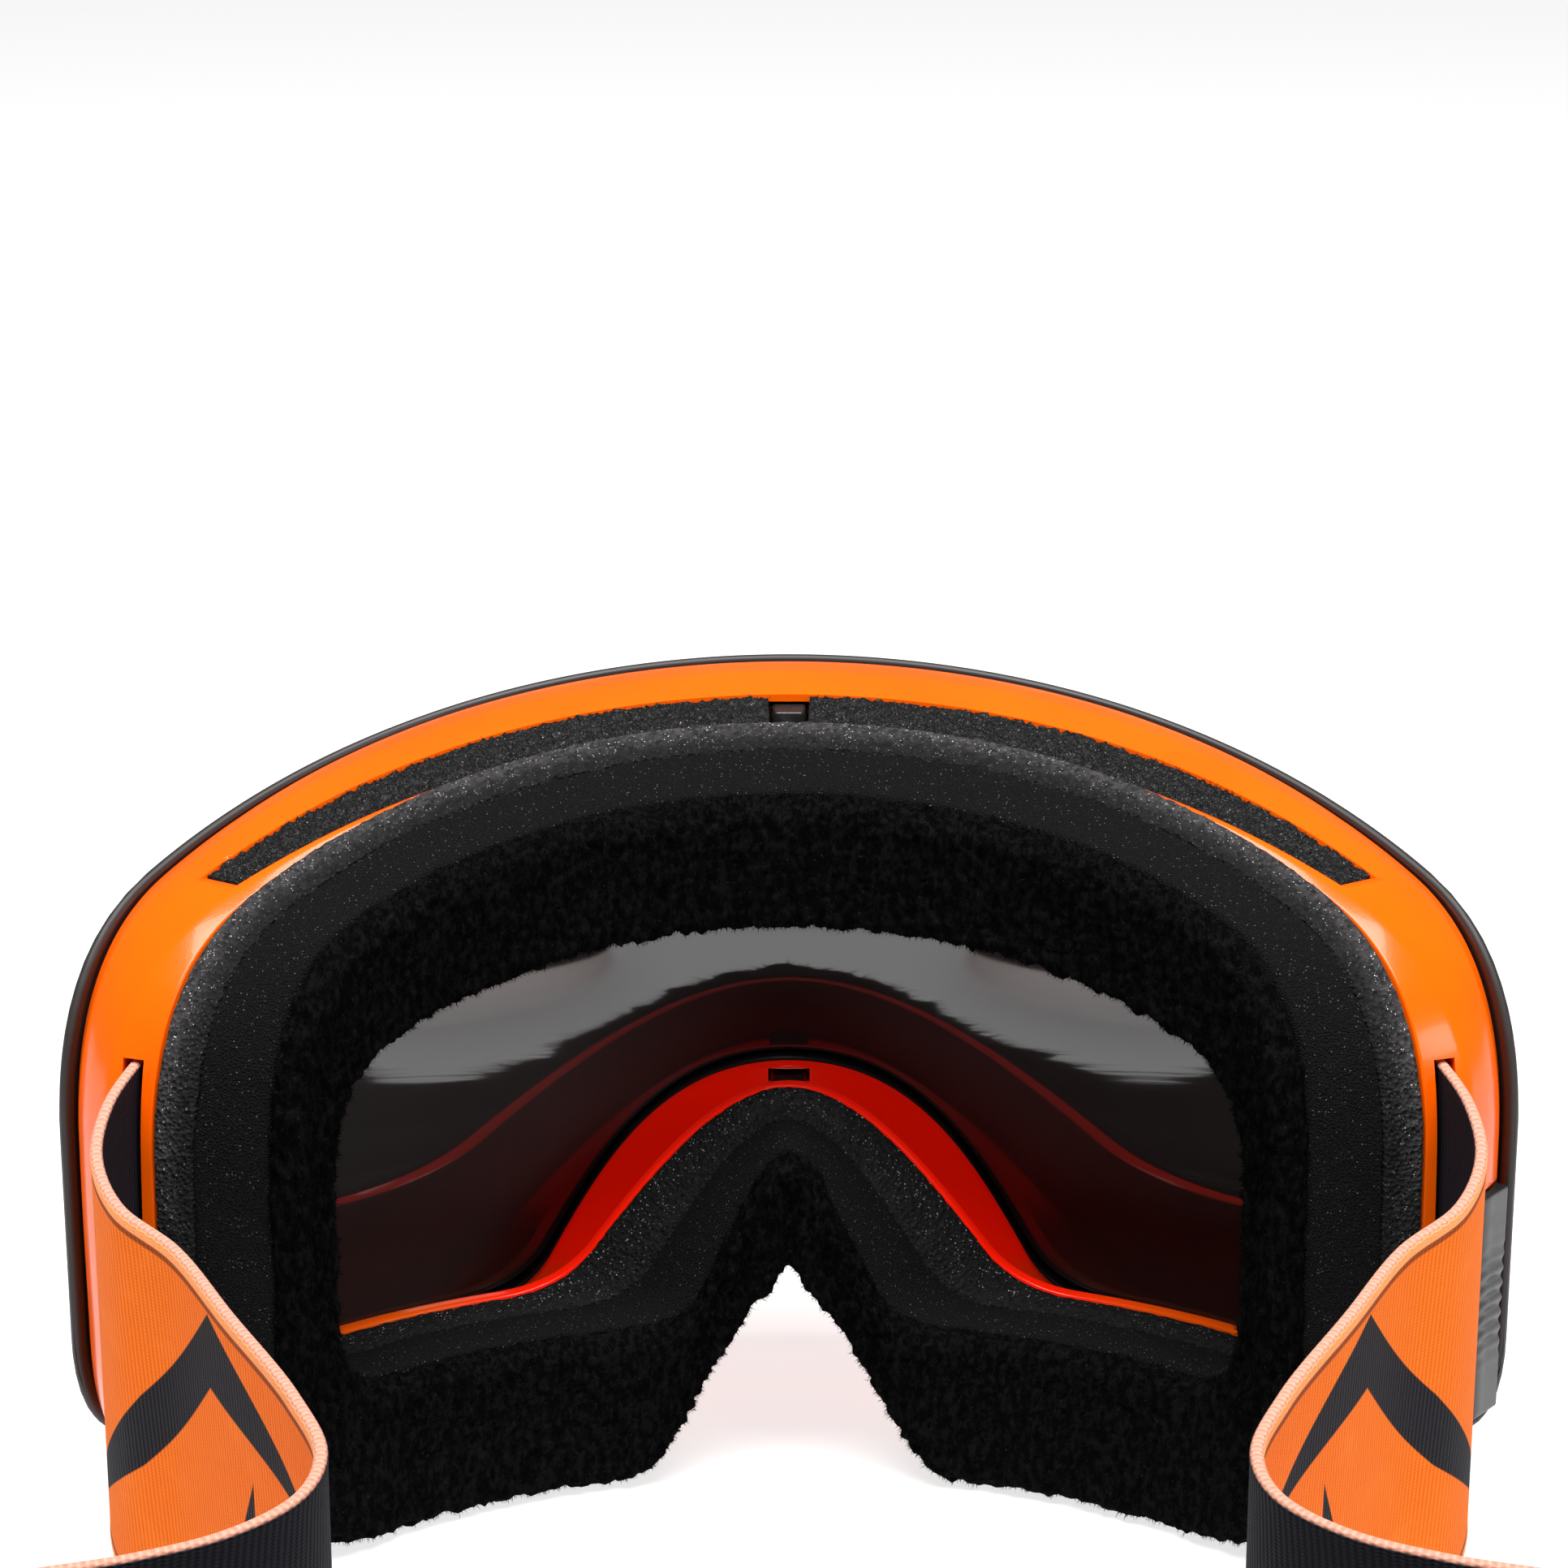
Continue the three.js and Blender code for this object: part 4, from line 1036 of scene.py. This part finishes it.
web = Finish("ribbed_webbing")
along, up, outside = [web.marked(key) for key in ("along", "up", "outside")]
RIB_PITCH = 0.85
THREAD_PITCH = 0.42
tau = 2 * math.pi
rib_wave = ((along + up * 0.12) * (tau / RIB_PITCH)).math("SINE") * 0.5 + 0.5
wander = (along * (math.pi / RIB_PITCH)).math("SINE") * 1.2
thread_wave = (up * (tau / THREAD_PITCH) + wander).math("SINE") * 0.5 + 0.5
weave = rib_wave * 0.65 + thread_wave * 0.35
worn = web.noise((9, 9, 5), 5)
orange = web.blend(weave, (0.70, 0.105, 0.003), (1.0, 0.215, 0.010))
orange = web.blend(worn.between(0.5, 0.9) * 0.3, orange, (1.0, 0.28, 0.04))
black = web.blend(weave, (0.003, 0.003, 0.005), (0.016, 0.015, 0.021))
# The pattern is a bar bent at its apex, that thins out both ways, with a short spur under it.
APEX_ALONG, APEX_UP = 70.0, 18.0
SPUR_ALONG, SPUR_TOP = 81.0, 9.0
SOFTNESS = 0.3
before, beyond = APEX_ALONG - along, along - APEX_ALONG
spine = APEX_UP - (before * 0.95).most(beyond * 0.16)
half_band = 4.6 - beyond.most(0.0) * 0.125 - (before - 20.0).most(0.0) * 0.14
arms = (half_band - abs(up - spine)).between(0.0, SOFTNESS)
spur = ((SPUR_TOP - up) * 0.28 - abs(along - SPUR_ALONG - up * 0.25)).between(0.0, SOFTNESS)
spur = spur * up.between(-SPUR_TOP, SOFTNESS - SPUR_TOP)
printed = arms.most(spur)
face = web.blend(printed, orange, black)
# Near each edge come a dark line of stitching, a bright border and the pale bound edge.
STITCHING, BORDER, BOUND_EDGE = 23.1, 23.3, 24.5
border = abs(up).between(BORDER, BORDER + SOFTNESS)
seam = abs(abs(up) - STITCHING).between(0.5, 0.25)
face = web.blend(seam * 0.75, web.blend(border, face, (1.0, 0.36, 0.13)), (0.10, 0.018, 0.006))
turned_in = outside.between(0.35, -0.35)
edge_tone = web.blend(weave, (0.52, 0.21, 0.14), (0.74, 0.36, 0.27))
both = web.blend(turned_in, face, black)
bound = abs(up).between(BOUND_EDGE, BOUND_EDGE + SOFTNESS)
ribbed_webbing = web.skin({
    "Base Color": web.blend(bound, both, edge_tone),
    "Roughness": 0.78 - weave * 0.1,
    "Specular IOR Level": 0.1,
    "Normal": web.bump(weave, 0.16)})
for side, place in ((1, "left"), (-1, "right")):
    points, marks = strap_points(side, REAR_Y + side * LAYER_OFFSET)
    fit(finish_mesh("webbing_" + place, *rod(points), attributes=marks),
        ribbed_webbing, "frame_and_strap", "webbing", "strap_" + place)

# ---- Strap bars and lever pin -------------------------------------------------------------------
# Plain steel rods: one in each wing of the frame for the strap's sewn end, and the pin that the
# release lever turns on. They keep their turned shape, with fine lengthwise drawing marks.
wire = Finish("drawn_steel")
draw_marks = wire.noise((0.12, 0.12, 9), 3)
drawn_steel = wire.skin({
    "Base Color": wire.blend(draw_marks, (0.42, 0.42, 0.43), (0.62, 0.62, 0.62)),
    "Metallic": 1.0,
    "Roughness": draw_marks * 0.2 + 0.22,
    "Normal": wire.bump(draw_marks, 0.01)})
for node in ("strap_anchor_bar_left", "strap_anchor_bar_right", "release_lever_pin"):
    for material_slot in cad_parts[node].material_slots:
        material_slot.material = drawn_steel

# ---- Release lever ------------------------------------------------------------------------------
# A moulded nylon lever on the wearer's right frees the lens. It turns on an upright pin in a
# recess of the frame, and has small ridges for the thumb.
LEVER_ROUND = 0.5
THUMB_RIDGE = 0.12
THUMB_RIDGE_PITCH = 2.0
THUMB_REACH = 7
lever_height = np.concatenate([
    LEVER_BOTTOM + LEVER_ROUND * np.array([0, 0.15, 0.5, 1]),
    np.linspace(LEVER_BOTTOM + 1, LEVER_TOP - 1, 120),
    LEVER_TOP - LEVER_ROUND * np.array([1, 0.5, 0.15, 0])])
from_end = np.minimum(lever_height - LEVER_BOTTOM, LEVER_TOP - lever_height)
end_inset = LEVER_ROUND - np.sqrt(LEVER_ROUND ** 2 - np.clip(LEVER_ROUND - from_end, 0, LEVER_ROUND) ** 2)
thumb = np.exp(-((lever_height - (LEVER_BOTTOM + LEVER_TOP) / 2) / THUMB_REACH) ** 4)
ridges = THUMB_RIDGE * thumb * (np.cos(lever_height * tau / THUMB_RIDGE_PITCH) - 1)
plans = [(lever_plan(margin), z) for margin, z in zip(ridges - end_inset, lever_height)]
lever_points = [np.concatenate([plan, np.full((len(plan), 1), z)], 1) for plan, z in plans]
fit(finish_mesh("thumb_lever", *rod(np.stack(lever_points, 1))),
    satin_nylon, "lever", "hard_black", "release_lever")

# ---- Sliders ------------------------------------------------------------------------------------
# Each slider is a moulded nylon loop that both strap halves pass through, with rounded edges
# and a flat foot.
SLIDER_X = 34
SLIDER_LENGTH = 9
SLIDER_DEPTH = 10
SLIDER_HEIGHT = 56.8
STRAP_CLEARANCE = 0.45
SLIDER_ROUND, WINDOW_ROUND = 2.0, 0.5
SLIDER_EDGE = 0.7
SLIDER_STEP = 1.5


def slider(x):
    """A rounded rectangle loop in the plane across the strap, with a rounded section."""
    half_window_y = STRAP_THICKNESS / 2 + LAYER_OFFSET + STRAP_CLEARANCE
    half_window_z = STRAP_WIDTH / 2 + STRAP_CLEARANCE
    outer = rounded_rectangle(SLIDER_DEPTH / 2, SLIDER_HEIGHT / 2, SLIDER_ROUND, 8)
    inner = rounded_rectangle(half_window_y, half_window_z, WINDOW_ROUND, 8)
    centre = SLIDER_HEIGHT / 2
    loops = [
        np.stack([np.full(len(line), x + end * SLIDER_LENGTH / 2), REAR_Y + line[:, 0], z + line[:, 1]], 1)
        for line, end, z in ((outer, -1, centre), (outer, 1, centre),
                             (inner, 1, STRAP_REAR_Z), (inner, -1, STRAP_REAR_Z))]
    return ring(filled(rounded(loops, SLIDER_EDGE, 4), SLIDER_STEP))


for side, place in ((1, "left"), (-1, "right")):
    fit(finish_mesh("strap_loop_" + place, *slider(side * SLIDER_X)),
        satin_nylon, "slider_" + place, "hard_black", "strap_slider_" + place)

# ---- Studio -------------------------------------------------------------------------------------
# A pale seamless floor, a large soft light overhead, a smaller one at the side that shows in the
# glossy frame, and the camera.
floor_mesh = bpy.data.meshes.new("floor")
floor_mesh.from_pydata([(-4, -4, 0), (4, -4, 0), (4, 4, 0), (-4, 4, 0)], [], [(0, 1, 2, 3)])
floor = bpy.data.objects.new("floor", floor_mesh)
bpy.context.scene.collection.objects.link(floor)
paper = Finish("white_paper")
floor_mesh.materials.append(paper.skin({
    "Base Color": paper.blend(paper.noise(400, 3), (0.42, 0.42, 0.42), (0.44, 0.44, 0.44)),
    "Roughness": 0.8,
    "Emission Color": (1.0, 1.0, 1.0),
    "Emission Strength": 0.76}))
floor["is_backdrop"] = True

world = bpy.data.worlds.new("studio")
world.use_nodes = True
world.node_tree.nodes["Background"].inputs["Color"].default_value = (1, 1, 1, 1)
world.node_tree.nodes["Background"].inputs["Strength"].default_value = 0.14
bpy.context.scene.world = world
bpy.context.scene.view_settings.view_transform = "Standard"


def softbox(name, place, target, size, power):
    """A rectangular area light, in metres and watts, turned to face a target."""
    light = bpy.data.lights.new(name, "AREA")
    light.shape, light.size, light.size_y, light.energy = "RECTANGLE", *size, power
    lamp = bpy.data.objects.new(name, light)
    lamp.location = place
    lamp.rotation_euler = (Vector(target) - Vector(place)).to_track_quat("-Z", "Y").to_euler()
    bpy.context.scene.collection.objects.link(lamp)


softbox("overhead", (0, 0.25, 1.3), (0, -0.03, 0.05), (1.0, 0.8), 38)
softbox("left_window", (-0.75, 0.55, 0.5), (-0.07, -0.04, 0.05), (0.3, 0.22), 1.6)

camera_data = bpy.data.cameras.new("camera")
camera_data.lens = 93.47
camera_data.sensor_width = 36
camera_data.shift_x = -0.0031
camera = bpy.data.objects.new("camera", camera_data)
camera.location = (0, 0.41815, 0.2405)
ahead = Vector((0, -0.06, 0.0943)) - camera.location
camera.rotation_euler = ahead.to_track_quat("-Z", "Y").to_euler()
bpy.context.scene.collection.objects.link(camera)
bpy.context.scene.camera = camera

low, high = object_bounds()
